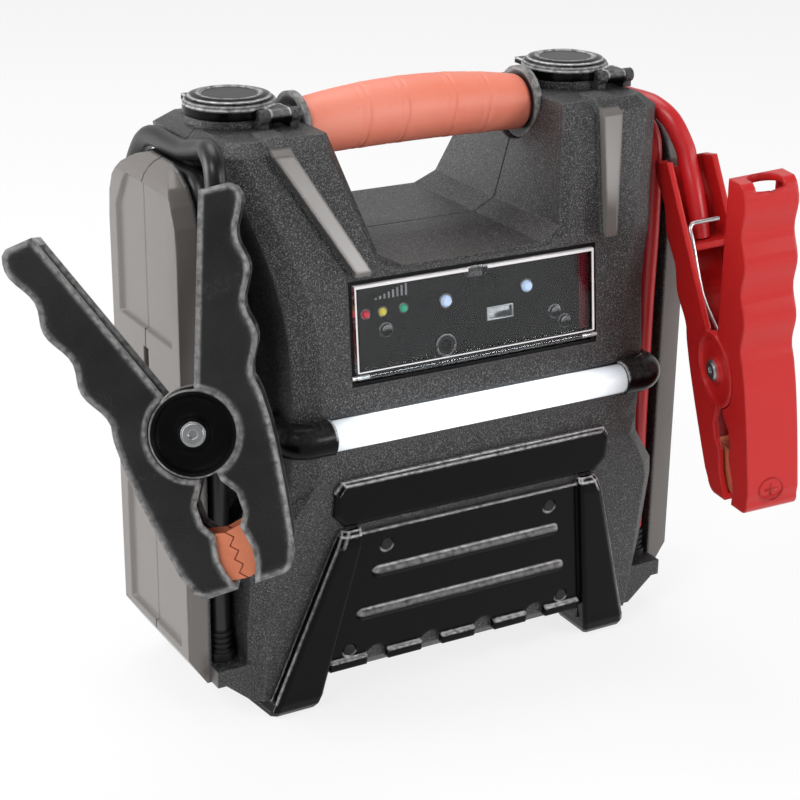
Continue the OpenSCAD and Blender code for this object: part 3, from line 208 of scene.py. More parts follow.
def make_smooth_zones():
    """1 on the casing's polished places: the bumpers' outer faces and the two spines."""
    group, _, out = new_group("smooth_zones", [], ["Bumper", "Spine"])
    x, y, z = coordinates(group, "Object")
    across = math_node(group, "ABSOLUTE", x)
    group.links.new(smooth_step(group, across, *BUMPER_X), out.inputs["Bumper"])
    # How far the surface stands in front of the sloping brow
    height = math_node(group, "SUBTRACT", z, BROW_FOOT_Z)
    brow = math_node(group, "MULTIPLY", height, BROW_SLOPE)
    front = math_node(group, "SUBTRACT", SEAM_Y * MM, y)
    proud = math_node(group, "SUBTRACT", math_node(
        group, "SUBTRACT", front, BROW_FRONT), brow)
    above = smooth_step(group, z, *SPINE_Z)
    spine = math_node(group, "MULTIPLY", smooth_step(group, proud, *SPINE_PROUD), above)
    group.links.new(spine, out.inputs["Spine"])
    return group


GRAIN = make_mould_grain()
ZONES = make_smooth_zones()
HANDLING = make_handling()
EDGE_WEAR_AND_HIGHLIGHT = make_edge_wear_and_highlight()


def place_group(tree, group, **values):
    """A shared group in a material's tree, with its values set."""
    node = tree.nodes.new("ShaderNodeGroup")
    node.node_tree = group
    for label, value in values.items():
        node.inputs[label].default_value = value
    return node


def start_material(name, **settings):
    """A material whose Principled shader holds the given constant settings."""
    material = bpy.data.materials.new(name)
    material.use_nodes = True
    tree = material.node_tree
    shader = tree.nodes["Principled BSDF"]
    for label, value in settings.items():
        shader.inputs[label.replace("_", " ")].default_value = value
    return material, tree, shader


def blend_colours(tree, mask, first, second):
    """The first colour where the mask is 0, the second where it is 1."""
    node = tree.nodes.new("ShaderNodeMix")
    node.data_type = "RGBA"
    for index, tint in ((6, first), (7, second)):
        if isinstance(tint, tuple):
            node.inputs[index].default_value = (*tint, 1)
        else:
            tree.links.new(tint, node.inputs[index])
    tree.links.new(mask, node.inputs[0])
    return node.outputs[2]


def blend_values(tree, mask, first, second):
    """The first number where the mask is 0, the second where it is 1."""
    rise = math_node(tree, "MULTIPLY", mask, second - first)
    return math_node(tree, "ADD", rise, first)


def bump(tree, shader, height, distance, strength=1.0, rounded=None):
    """Bump from a height, over a rounded normal where there is one."""
    node = tree.nodes.new("ShaderNodeBump")
    node.inputs["Strength"].default_value = strength
    node.inputs["Distance"].default_value = distance
    tree.links.new(height, node.inputs["Height"])
    if rounded:
        tree.links.new(rounded, node.inputs["Normal"])
    tree.links.new(node.outputs[0], shader.inputs["Normal"])


BEVEL_SAMPLES = 4
FACING_UP = (0.1, 0.35)  # height of a normal where the painted highlight on the upper edges fades in


def rounded_edges(tree, radius, scuff, spread=1.0, upper=False):
    """The normal over rounded edges, and the mask of their pale strip, rubbed wear and painted
    highlight.

    A larger spread widens the strip, and upper keeps it to the edges that face up, where the
    painted highlight stands for light from above.
    """
    if not radius:
        return None, None
    soft = tree.nodes.new("ShaderNodeBevel")
    soft.samples = BEVEL_SAMPLES
    soft.inputs["Radius"].default_value = radius
    flat = tree.nodes.new("ShaderNodeNewGeometry")
    both = tree.nodes.new("ShaderNodeVectorMath")
    both.operation = "DOT_PRODUCT"
    tree.links.new(soft.outputs[0], both.inputs[0])
    tree.links.new(flat.outputs["Normal"], both.inputs[1])
    rubbed_and_lit = place_group(tree, EDGE_WEAR_AND_HIGHLIGHT, Amount=scuff)
    turn = math_node(tree, "SUBTRACT", 1.0, both.outputs["Value"])
    if upper:
        parts = tree.nodes.new("ShaderNodeSeparateXYZ")
        tree.links.new(soft.outputs[0], parts.inputs[0])
        facing_up = smooth_step(tree, parts.outputs[2], *FACING_UP)
        turn = math_node(tree, "MULTIPLY", turn, facing_up)
    tree.links.new(math_node(tree, "MULTIPLY", turn, spread), rubbed_and_lit.inputs["Turn"])
    return soft.outputs[0], rubbed_and_lit.outputs["Scuff"]


# The glossy disc round the black clamp's rivet, in metres
DISC_R = 0.0165
DISC_RIM = 0.0004
DISC_BLACK = (0.002, 0.002, 0.0022)
DISC_SHINE = 0.08


def disc_mask(tree, pivot, axis):
    """1 on the disc round a clamp's pivot."""
    where = tree.nodes.new("ShaderNodeTexCoord")
    away = tree.nodes.new("ShaderNodeVectorMath")
    away.operation = "SUBTRACT"
    away.inputs[1].default_value = pivot
    tree.links.new(where.outputs["Object"], away.inputs[0])
    turned = tree.nodes.new("ShaderNodeVectorMath")
    turned.operation = "CROSS_PRODUCT"
    turned.inputs[1].default_value = axis
    tree.links.new(away.outputs[0], turned.inputs[0])
    reach = tree.nodes.new("ShaderNodeVectorMath")
    reach.operation = "LENGTH"
    tree.links.new(turned.outputs[0], reach.inputs[0])
    outside = smooth_step(tree, reach.outputs["Value"], DISC_R, DISC_R + DISC_RIM)
    return math_node(tree, "SUBTRACT", 1.0, outside)


def moulding(name, tint, second_tone, rough, grain=0.0012, depth=0.00008, edges=0.0008,
             scuff=0.6, soil=0.06, spread=1.0, upper=False, dark_disc=None, **settings):
    """Moulded plastic or rubber: grain, handling patches and a strip of the second tone along
    rounded edges, rubbed wear on most finishes and a painted highlight on the black gloss and
    black plastic.
    """
    material, tree, shader = start_material(name, **settings)
    texture = place_group(tree, GRAIN, Size=grain)
    smudge = place_group(tree, HANDLING, Patch=0.035).outputs["Smudge"]
    rounded, rubbed_and_lit = rounded_edges(tree, edges, scuff, spread, upper)
    soiled = tuple(c + soil * (w - c) for c, w in zip(tint, second_tone))
    colour = blend_colours(tree, smudge, tint, soiled)
    if rubbed_and_lit:
        # The edge strip takes the second tone: on the black gloss and black plastic it is a
        # painted highlight.
        colour = blend_colours(tree, rubbed_and_lit, colour, second_tone)
    if dark_disc:
        on_disc = disc_mask(tree, *dark_disc)
        colour = blend_colours(tree, on_disc, colour, DISC_BLACK)
        shine = blend_values(tree, on_disc, settings["Specular_IOR_Level"], DISC_SHINE)
        tree.links.new(shine, shader.inputs["Specular IOR Level"])
    tree.links.new(colour, shader.inputs["Base Color"])
    tree.links.new(blend_values(tree, smudge, rough, rough + 0.05), shader.inputs["Roughness"])
    bump(tree, shader, texture.outputs["Height"], depth, 1.0, rounded)
    return material


def casing_finish(name, tint, glint_and_edge_tone, polished, rough, gloss, grain, depth, edges, **settings):
    """Coarse grain with painted glints on its specks, giving way to polished bumper faces and
    spines painted paler as a sheen.
    """
    material, tree, shader = start_material(name, **settings)
    texture = place_group(tree, GRAIN, Size=grain)
    zones = place_group(tree, ZONES)
    rounded, rubbed_and_lit = rounded_edges(tree, edges, 0.5)
    patches = place_group(tree, HANDLING, Patch=0.04)
    smooth = math_node(tree, "MAXIMUM", zones.outputs["Bumper"], zones.outputs["Spine"])
    coarse = math_node(tree, "SUBTRACT", 1.0, smooth)
    glint = math_node(tree, "MULTIPLY", texture.outputs["Glint"], coarse)
    # Specks lightened to the glint tone: a painted glint.
    colour = blend_colours(tree, glint, tint, glint_and_edge_tone)
    # Polished zones lightened to a grey: a painted sheen of reflected light.
    colour = blend_colours(tree, smooth, colour, polished)
    # Rounded edges take the glint tone: partly rubbed wear, partly painted highlight.
    colour = blend_colours(tree, rubbed_and_lit, colour, glint_and_edge_tone)
    tree.links.new(colour, shader.inputs["Base Color"])
    sheen = math_node(tree, "ADD", blend_values(tree, smooth, rough, gloss),
                      math_node(tree, "MULTIPLY", patches.outputs["Smudge"], 0.05))
    tree.links.new(sheen, shader.inputs["Roughness"])
    relief = math_node(tree, "ADD", math_node(tree, "MULTIPLY", coarse, 0.97), 0.03)
    height = math_node(tree, "MULTIPLY", texture.outputs["Height"], relief)
    bump(tree, shader, height, depth, 1.0, rounded)
    return material


# Metres
METAL_EDGE = 0.0004
METAL_RELIEF = 0.00003
CLEAR_RELIEF = 0.00002
TUBE_RELIEF = 0.00004
RIPPLE = 160.0  # scale of the ripple in clear plastic


def metal(name, tint, second_tone, rough, brush=900.0, shine=1.0):
    """Metal with fine scratches and a duller worn tone in patches."""
    material, tree, shader = start_material(name, Metallic=shine)
    smudge = place_group(tree, HANDLING, Patch=0.012).outputs["Smudge"]
    tree.links.new(blend_colours(tree, smudge, tint, second_tone), shader.inputs["Base Color"])
    tree.links.new(blend_values(tree, smudge, rough, rough + 0.18), shader.inputs["Roughness"])
    bump(tree, shader, noise(tree, brush, 4.0, 0.7), METAL_RELIEF, 0.6,
         rounded_edges(tree, METAL_EDGE, 0.0)[0])
    return material


def clear(name, tint, rough):
    """Clear plastic with faint moulding ripple."""
    material, tree, shader = start_material(name, Transmission_Weight=1.0, IOR=1.3)
    smudge = place_group(tree, HANDLING, Patch=0.02).outputs["Smudge"]
    dull = blend_colours(tree, smudge, tint, tuple(0.93 * c for c in tint))
    tree.links.new(dull, shader.inputs["Base Color"])
    tree.links.new(blend_values(tree, smudge, rough, rough + 0.06), shader.inputs["Roughness"])
    bump(tree, shader, noise(tree, RIPPLE, 2.0), CLEAR_RELIEF)
    return material


# The light tube's lit stretch, in metres from its middle
TUBE_MIDDLE_X = -0.004
TUBE_FADE = (0.045, 0.074)
TUBE_LIT = (0.95, 0.96, 0.97)
UNLIT = (0.0, 0.0, 0.0)


def frosted_tube(name, tint, glow):
    """Diffusing tube, lit along its middle and dimmer and streaked near its ends."""
    material, tree, shader = start_material(
        name, Roughness=0.2, Transmission_Weight=0.25, IOR=1.47, Emission_Strength=0.62)
    x = coordinates(tree, "Object")[0]
    reach = math_node(tree, "ABSOLUTE", math_node(tree, "SUBTRACT", x, TUBE_MIDDLE_X))
    lit = math_node(tree, "SUBTRACT", 1.0, smooth_step(tree, reach, *TUBE_FADE))
    streaks = math_node(tree, "MULTIPLY", noise(tree, 260.0, 3.0, 0.6), 1.3, clamp=True)
    streaks = math_node(tree, "ADD", math_node(tree, "MULTIPLY", streaks, 0.35), 0.65)
    lit = math_node(tree, "MULTIPLY", lit, streaks, clamp=True)
    tree.links.new(blend_colours(tree, lit, tint, TUBE_LIT), shader.inputs["Base Color"])
    tree.links.new(blend_colours(tree, lit, UNLIT, glow), shader.inputs["Emission Color"])
    bump(tree, shader, noise(tree, RIPPLE, 2.0), TUBE_RELIEF)
    return material


def glowing(name, tint, glow, strength):
    """White lamp strip or lens lit from within, brighter in places."""
    material, tree, shader = start_material(name, Emission_Strength=strength, Roughness=0.35)
    smudge = place_group(tree, HANDLING, Patch=0.01).outputs["Smudge"]
    dull = blend_colours(tree, smudge, tint, tuple(0.85 * c for c in tint))
    dim = blend_colours(tree, smudge, glow, tuple(0.8 * c for c in glow))
    tree.links.new(dull, shader.inputs["Base Color"])
    tree.links.new(dim, shader.inputs["Emission Color"])
    return material


BLACK_AXIS = CLAMPS["black"].to_3x3() @ Vector((0, 1, 0))
BLACK_DISC = (tuple(CLAMPS["black"].translation), tuple(BLACK_AXIS.normalized()))
FINISHES = {}


def add_finish(kind, name, *values, **settings):
    """Make a finish and keep it under its name."""
    FINISHES[name] = kind(name, *values, **settings)


# Specks painted with glints, and polished bumpers and spines painted paler as a sheen.
add_finish(casing_finish, "dark_casing", (0.009, 0.0092, 0.0098), (0.15, 0.15, 0.152),
           (0.14, 0.127, 0.12), rough=0.42, gloss=0.2, grain=0.0006, depth=0.0003,
           edges=0.0018, Specular_IOR_Level=0.5)
# Near-white second tone on upper rounded edges, widened by the spread: a painted highlight
# along the top edges of the guard, name bar, bezels and caps.
add_finish(moulding, "black_gloss", (0.0015, 0.0015, 0.0018), (0.9, 0.9, 0.905), 0.16,
           grain=0.004, depth=2e-05, edges=0.0017, scuff=1.0, soil=0.0005, spread=7.0,
           upper=True, Specular_IOR_Level=0.1)
add_finish(moulding, "panel_black", (0.0015, 0.0015, 0.0018), (0.1, 0.1, 0.1), 0.25,
           grain=0.003, depth=2e-05, edges=0.0005, scuff=0.3, soil=0.002,
           Specular_IOR_Level=0.15)
# Pale second tone on a wide strip along 4 mm rounded edges: a painted rim highlight on the
# clamps' edges.
add_finish(moulding, "black_plastic", (0.008, 0.008, 0.0088), (0.46, 0.455, 0.45), 0.34,
           grain=0.0009, depth=0.00012, edges=0.004, scuff=1.0, soil=0.02, spread=7.0,
           dark_disc=BLACK_DISC, Specular_IOR_Level=0.35)
add_finish(moulding, "rubber_black", (0.006, 0.006, 0.0066), (0.05, 0.05, 0.05), 0.5,
           grain=0.0006, depth=4e-05, edges=0.0005, soil=0.04, Specular_IOR_Level=0.3)
add_finish(moulding, "grip_orange", (0.76, 0.205, 0.13), (0.85, 0.38, 0.3), 0.46,
           grain=0.0011, depth=8e-05, edges=0.0, scuff=0.2, soil=0.25)
add_finish(moulding, "red_plastic", (0.52, 0.012, 0.012), (0.66, 0.09, 0.08), 0.3,
           grain=0.003, depth=4e-05, edges=0.0016, scuff=0.25, soil=0.04,
           Specular_IOR_Level=0.4)
add_finish(moulding, "red_cable", (0.5, 0.012, 0.016), (0.7, 0.12, 0.12), 0.32, grain=0.003,
           depth=4e-05, edges=0.0, scuff=0.1, soil=0.04)
add_finish(moulding, "black_cable", (0.008, 0.008, 0.009), (0.08, 0.08, 0.08), 0.34,
           grain=0.003, depth=4e-05, edges=0.0, scuff=0.1, soil=0.04, Specular_IOR_Level=0.4)
add_finish(moulding, "board_green", (0.015, 0.11, 0.05), (0.1, 0.25, 0.15), 0.4, grain=0.002,
           depth=3e-05, edges=0.0003)
add_finish(moulding, "battery_grey", (0.09, 0.1, 0.11), (0.2, 0.2, 0.2), 0.5, grain=0.0015,
           depth=6e-05, edges=0.001)
add_finish(glowing, "led_white", (0.9, 0.92, 0.95), (0.8, 0.92, 1.0), 1.2)
add_finish(metal, "copper", (0.9, 0.3, 0.16), (0.7, 0.22, 0.12), 0.42, shine=0.6)
add_finish(metal, "steel", (0.68, 0.69, 0.7), (0.5, 0.51, 0.52), 0.22)
add_finish(metal, "dark_steel", (0.025, 0.025, 0.028), (0.05, 0.05, 0.05), 0.35)
add_finish(metal, "galvanised", (0.45, 0.46, 0.48), (0.36, 0.37, 0.38), 0.4, 300.0)
add_finish(clear, "clear_cover", (0.93, 0.95, 0.97), 0.03)
add_finish(frosted_tube, "tube_white", (0.8, 0.84, 0.88), (0.93, 0.97, 1.0))
add_finish(glowing, "lens_red", (0.5, 0.008, 0.03), (0.7, 0.01, 0.05), 0.45)
add_finish(glowing, "lens_yellow", (0.6, 0.5, 0.04), (0.7, 0.6, 0.06), 0.45)
add_finish(glowing, "lens_green", (0.02, 0.3, 0.16), (0.04, 0.5, 0.3), 0.4)
add_finish(moulding, "panel_print", (0.3, 0.3, 0.31), (0.4, 0.4, 0.4), 0.5, grain=0.0006,
           depth=2e-05, edges=0.0)
# Dark red for the strip that is a painted reflection of the red cable.
add_finish(moulding, "panel_red", (0.12, 0.003, 0.01), (0.2, 0.02, 0.03), 0.15, grain=0.003,
           depth=3e-05, edges=0.0, scuff=0.0)
# Near-white strips on the cover's edges: a painted highlight.
add_finish(moulding, "polished_edge", (0.78, 0.76, 0.77), (0.9, 0.9, 0.9), 0.12, grain=0.002,
           depth=3e-05, edges=0.0, scuff=0.0)
add_finish(glowing, "lens_white", (0.6, 0.72, 0.95), (0.5, 0.66, 0.95), 0.5)

# Nodes whose finish is not that of their slot in the record
OWN_FINISH = {"control_panel": "panel_black"}


def dress_nodes():
    """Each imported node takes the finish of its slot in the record, or its own."""
    for part in frame["record"]["subparts"]:
        node = part["node"]
        mesh = NODES[node].data
        mesh.materials.clear()
        mesh.materials.append(FINISHES[OWN_FINISH.get(node, part["material_slot"])])


# ---- Cables ----

# Points from each gland to each clamp, in millimetres from the seam. Both cables start
# alike, up and over in their channels, and part on the last turn over the shoulder.
STOWED_ROUTE = [
    (109.5, -31, 43), (109.5, -31, 70), (109, -31, 100), (109, -31, 130), (109, -31, 160),
    (109.5, -31, 190), (110, -30, 214), (110.5, -28.5, 227), (110.5, -26.5, 234),
    (110.5, -21, 239), (110.5, -7, 239.2), (110.5, 7, 239.2), (110.5, 21, 239),
    (110.5, 26.5, 234), (110.5, 28.5, 227), (109.5, 30, 212), (109, 30.5, 180),
    (109, 31, 150), (109, 32, 136), (109, 36, 129), (109, 41.5, 126.5), (109, 47, 129),
    (109, 51, 136), (109, 52, 150), (109.5, 52, 182), (110, 51, 212), (110.2, 47, 226.5),
    (110.4, 39.5, 238), (110.4, 31, 245.6), (110.5, 21, 248.7), (110.5, 4, 248.7),
]
RED_ROUTE = STOWED_ROUTE + [
    (110.5, -9, 248.7), (110.7, -18, 249), (112, -26.8, 248), (114.6, -35.8, 243),
    (117.6, -42.6, 231.9), (117.7, -45.9, 224.3), (117.8, -50.6, 214.8),
    (118.4, -54.2, 203.2), (119.1, -56.2, 193.6),
]
BLACK_ROUTE = [(-x, y, z) for x, y, z in STOWED_ROUTE] + [
    (-110.5, -9, 249.5), (-110.6, -20, 252.2), (-111, -31, 255), (-113.3, -40, 256),
    (-114.8, -47.9, 251.5), (-115.5, -50.7, 241.5), (-116.9, -53.3, 231.4),
    (-116.8, -57.1, 219.8), (-115.8, -60.6, 210.7),
]
CABLE_D = 9.0
CABLE_STEPS = 6


def smooth_line(points, steps):
    """Points along a smooth curve through the given ones, so many to each stretch."""
    line = []
    for i in range(len(points) - 1):
        before = points[max(i - 1, 0)]
        start, end = points[i], points[i + 1]
        after = points[min(i + 2, len(points) - 1)]
        for k in range(steps):
            t = k / steps
            line.append(0.5 * (2 * start + (end - before) * t
                        + (2 * before - 5 * start + 4 * end - after) * t * t
                        + (3 * start - before - 3 * end + after) * t * t * t))
    return line + [points[-1]]


def round_wire(name, line, radius, finish, sides=6):
    """A curve with one open spline along the line, round and closed at its ends."""
    curve = bpy.data.curves.new(name, "CURVE")
    curve.dimensions = "3D"
    curve.bevel_depth = radius
    curve.bevel_resolution = sides
    curve.use_fill_caps = True
    spline = curve.splines.new("POLY")
    spline.points.add(len(line) - 1)
    for point, place in zip(spline.points, line):
        point.co = (*place, 1)
    curve.materials.append(FINISHES[finish])
    piece = bpy.data.objects.new(name, curve)
    bpy.context.scene.collection.objects.link(piece)
    return piece


def make_cable(colour, route, spring):
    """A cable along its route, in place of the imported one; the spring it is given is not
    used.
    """
    line = smooth_line([at(*p) for p in route], CABLE_STEPS)
    piece = round_wire(f"{colour}_cable_sheath", line, CABLE_D / 2 * MM, f"{colour}_cable")
    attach(piece, "pack")
    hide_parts(f"{colour}_cable")


# ---- Springs ----

# Millimetres in a clamp's own frame
COIL_R = 7.75
COIL_TURNS = 3.5
COIL_HALF = 4.375
WIRE_R = 1.0
SHORT_LEG = [(-9.5, -4.6, 15), (-8.4, -4.5, 7)]
LONG_LEG = [
    (8.8, 4.5, 8), (10.4, 4.9, 14), (15.5, 8.2, 30), (21, 8.2, 53), (23, 8.2, 58.5),
    (23.6, 7, 60.4), (23.8, 4.8, 61), (23.8, -6.2, 61),
]


def spring_points():
    """Short leg, coil round the sleeve, then the long leg with its cross bar."""
    steps = round(COIL_TURNS * 12)
    coil = []
    for i in range(steps + 1):
        turn = math.radians(90 + 360 * COIL_TURNS * i / steps)
        along = COIL_HALF * (2 * i / steps - 1)
        coil.append((-COIL_R * math.sin(turn), along, COIL_R * math.cos(turn)))
    return SHORT_LEG + coil + LONG_LEG


def make_spring(colour):
    """A clamp's torsion spring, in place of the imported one."""
    line = smooth_line([CLAMPS[colour] @ (Vector(p) * MM) for p in spring_points()], 3)
    piece = round_wire(f"{colour}_coiled_spring", line, WIRE_R * MM, "steel", 3)
    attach(piece, "pack")
    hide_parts(f"{colour}_spring")
    return piece


set_camera()
dress_nodes()
for colour, route in (("red", RED_ROUTE), ("black", BLACK_ROUTE)):
    make_cable(colour, route, make_spring(colour))

# ---- Meshed pieces ----


def add_mesh(name, points, faces, finish, body, frame_at, smooth=True):
    """A mesh from points in millimetres of a frame, riding on a body."""
    mesh = bpy.data.meshes.new(name)
    mesh.from_pydata([frame_at @ (Vector(p) * MM) for p in points], [], faces)
    for face in mesh.polygons:
        face.use_smooth = smooth
    mesh.materials.append(FINISHES[finish])
    piece = bpy.data.objects.new(name, mesh)
    bpy.context.scene.collection.objects.link(piece)
    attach(piece, body)
    return piece


def ring_faces(rings, sides, closed=False):
    """Quads between rings of equal counts; closed also joins the last ring to the first."""
    faces = []
    for i in range(rings if closed else rings - 1):
        near, after = i * sides, (i + 1) % rings * sides
        for k in range(sides):
            side = (k + 1) % sides
            faces.append((near + k, near + side, after + side, after + k))
    return faces


SUNK = 0.1  # millimetres that a raised piece goes into the face below it


def chamfered_plates(plates, depth, edge):
    """Thin raised plates with chamfered edges; each is its outline and its lowest height."""
    points, faces = [], []
    for outline, low in plates:
        count, start = len(outline), len(points)
        middle = Vector((sum(p[0] for p in outline), sum(p[1] for p in outline))) / count
        for inset, height in ((0, low - SUNK), (0, low + depth - edge), (edge, low + depth)):
            for p in outline:
                away = Vector(p) - middle
                points.append((*(middle + away * max(0.0, 1 - inset / away.length)), height))
        faces += [tuple(start + i for i in face) for face in ring_faces(3, count)]
        faces.append(tuple(start + 2 * count + i for i in range(count)))
        faces.append(tuple(start + i for i in reversed(range(count))))
    return points, faces


def raised_ring(cx, cy, low, inner, outer, height, sides=48):
    """A round bezel about a point: a low rounded ridge between two radii."""
    profile = [(inner, low - SUNK), (inner, low + height * 0.6)]
    for angle in (150, 90, 30):
        turn = math.radians(angle)
        profile.append(((inner + outer) / 2 + (outer - inner) / 2 * math.cos(turn),
                        low + height * (0.6 + 0.4 * math.sin(turn))))
    profile += [(outer, low + height * 0.6), (outer, low - SUNK)]
    points = []
    for r, z in profile:
        for k in range(sides):
            turn = 2 * math.pi * k / sides
            points.append((cx + r * math.cos(turn), cy + r * math.sin(turn), z))
    return points, [face[::-1] for face in ring_faces(len(profile), sides, closed=True)]


def join(parts):
    """Several sets of points and faces as one."""
    points, faces = [], []
    for more_points, more_faces in parts:
        start = len(points)
        points += more_points
        faces += [tuple(start + i for i in face) for face in more_faces]
    return points, faces


def rectangle(x0, x1, y0, y1):
    """A rectangle's corners, in turn."""
    return [(x0, y0), (x1, y0), (x1, y1), (x0, y1)]


# ---- Grip ----

# Millimetres; the grip is thickest and highest at its middle
GRIP_HALF = 55.3
GRIP_END_R = 12.2
GRIP_SWELL = 2
GRIP_END_Z = 250.5
GRIP_RISE = 3
GRIP_BORE_R = 8.05
GRIP_LIP = 2.2
GRIP_SEAMS = (-27.0, -8.5, 15.0, 33.0)
GRIP_SLANT = 1.4
GRIP_SIDES, GRIP_STEPS = 64, 260


def grip_radius(x, turn):
    """Swelling grip with pressed seams, each with a faint second line beside it."""
    r = GRIP_END_R + GRIP_SWELL * (1 - (x / GRIP_HALF) ** 2)
    for seam in GRIP_SEAMS:
        off = x - seam - GRIP_SLANT * math.sin(turn)
        under = 0.75 + 0.25 * math.cos(turn + math.radians(120))
        r -= 0.5 * under * math.exp(-(off / 0.5) ** 2)
        r -= 0.16 * math.exp(-((off + 3.6) / 0.7) ** 2)
        r += 0.12 * math.exp(-((off - 2.2) / 2.0) ** 2)
    end = max(0.0, abs(x) - GRIP_HALF + GRIP_LIP) / GRIP_LIP
    return r - 0.9 * end * end


def make_grip():
    """The wrapped grip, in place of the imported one, with its bore's two ends."""
    sides, steps = GRIP_SIDES, GRIP_STEPS
    points = []
    for i in range(steps + 1):
        x = GRIP_HALF * (2 * i / steps - 1)
        rise = GRIP_END_Z + GRIP_RISE * (1 - (x / GRIP_HALF) ** 2)
        for k in range(sides):
            turn = 2 * math.pi * k / sides
            r = grip_radius(x, turn)
            points.append((x, r * math.cos(turn), rise + r * math.sin(turn)))
    # The bore, last at the right end and the left end, closes the ring of rings
    for x in (GRIP_HALF, -GRIP_HALF):
        for k in range(sides):
            turn = 2 * math.pi * k / sides
            points.append((x, GRIP_BORE_R * math.cos(turn),
                           GRIP_END_Z + GRIP_BORE_R * math.sin(turn)))
    faces = [face[::-1] for face in ring_faces(steps + 3, sides, closed=True)]
    piece = add_mesh("wrapped_grip", points, faces, "grip_orange", "pack", HERE)
    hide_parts("handle_grip")


make_grip()

# ---- Control panel ----

# Millimetres in the panel's frame
PLATE = -4.0  # the panel plate below the casing's face
LEVEL_LAMP_SPOTS = ((-51.7, 6.8), (-43.7, 6.8), (-33.7, 6.8))
WHITE_LAMP_SPOTS = ((-13.3, 6.8), (27, 7.3))
JACK_SPOT = (-13.7, -12.5)
BUTTON_SPOTS = {"tester_button": (-42.4, -1.2), "light_button": (41.3, -6.2),
                "usb_button": (46.3, -11.2)}
# Dark red strip: a painted reflection of the red cable in the cover's side.
REFLECTION_STRIP = (54.2, 58.9, -16.2, 20.2)
BAR_COUNT, BAR_PITCH, BAR_W, BAR_GROWTH = 8, 2.05, 0.9, 0.62
BAR_X, BAR_Y, BAR_H = -47, 12.2, 0.8
# A button cap's profile: radius and height, from its rim to its middle
CAP_PROFILE = [(2.34, -2.62), (2.25, -2.35), (1.9, -2.0), (1.2, -1.78), (0.45, -1.7)]
CAP_SIDES = 36


def make_panel_details():
    """Level bars, bezels, a dark red strip at the right end as a painted reflection of the red
    cable in the cover's side, and the caps of the buttons.
    """
    bars = []
    for i in range(BAR_COUNT):
        left = BAR_X + BAR_PITCH * i
        top = BAR_Y + BAR_H + BAR_GROWTH * i
        bars.append((rectangle(left, left + BAR_W, BAR_Y, top), PLATE))
    add_mesh("level_bars", *chamfered_plates(bars, 0.14, 0.05), "panel_print", "pack", PANEL,
             smooth=False)
    bezels = [raised_ring(x, y, PLATE, 1.75, 2.35, 0.35) for x, y in LEVEL_LAMP_SPOTS]
    bezels += [raised_ring(x, y, PLATE, 2.55, 3.2, 0.4) for x, y in WHITE_LAMP_SPOTS]
    bezels.append(raised_ring(*JACK_SPOT, PLATE, 4.05, 5.0, 0.45))
    bezels += [raised_ring(x, y, PLATE, 2.55, 3.3, 0.4) for x, y in BUTTON_SPOTS.values()]
    add_mesh("panel_bezels", *join(bezels), "black_gloss", "pack", PANEL)
    # The painted reflection of the red cable, in the panel's right end.
    end = [(rectangle(*REFLECTION_STRIP), PLATE)]
    add_mesh("painted_reflection_strip", *chamfered_plates(end, 0.25, 0.1), "panel_red", "pack", PANEL,
             smooth=False)
    for button, (x, y) in BUTTON_SPOTS.items():
        points = []
        for r, z in CAP_PROFILE:
            for k in range(CAP_SIDES):
                turn = 2 * math.pi * k / CAP_SIDES
                points.append((x + r * math.cos(turn), y + r * math.sin(turn), z))
        faces = ring_faces(len(CAP_PROFILE), CAP_SIDES)
        faces.append(tuple(range(len(points) - CAP_SIDES, len(points))))
        add_mesh(f"{button}_cap", points, faces, "black_gloss", button, PANEL)


COVER_FACE = 1.5
COVER_TOP_Y = 20.4
# Strips round the cover's outer face: two above, beside the catch, two sides and one below
LIP_STRIPS = [
    (-58.9, -4.7, 19.1, 20.3), (4.7, 58.9, 19.1, 20.3), (-58.9, -58.2, -16.4, 19.1),
    (57.9, 58.9, -16.4, 19.1), (-58.2, 57.9, -16.5, -16.0),
]
TOP_STRIPS = [(-58.9, -3.6, -1.2, 1.4), (3.6, 58.9, -1.2, 1.4)]


def make_cover_edges():
    """Pale strips on the clear cover's raised lip and upper end face: a painted highlight of
    its polished edges.
    """
    strips = [(rectangle(*edges), COVER_FACE) for edges in LIP_STRIPS]
    add_mesh("cover_lip", *chamfered_plates(strips, 0.12, 0.04), "polished_edge",
             "panel_cover", PANEL, smooth=False)
    lift = (PANEL @ Matrix.Translation(Vector((0, COVER_TOP_Y, 0)) * MM)
            @ Matrix.Rotation(math.radians(-90), 4, "X"))
    ends = [(rectangle(*edges), 0) for edges in TOP_STRIPS]
    add_mesh("cover_end_face", *chamfered_plates(ends, 0.1, 0.03), "polished_edge",
             "panel_cover", lift, smooth=False)


make_panel_details()
make_cover_edges()

# ---- Clamp marks ----

# Millimetres in a clamp's own frame
MARK_Z = -52.0
MARK_R = 6.0
MARK_RIM = 0.75
MARK_SUNK = -0.15
STROKE = (-2.9, 2.9)
STROKE_W = (-0.45, 0.45)


def clamp_back(z):
    """Half width of a clamp's back below its pivot."""
    return 30 - 9 * (-z / 63) ** 1.4


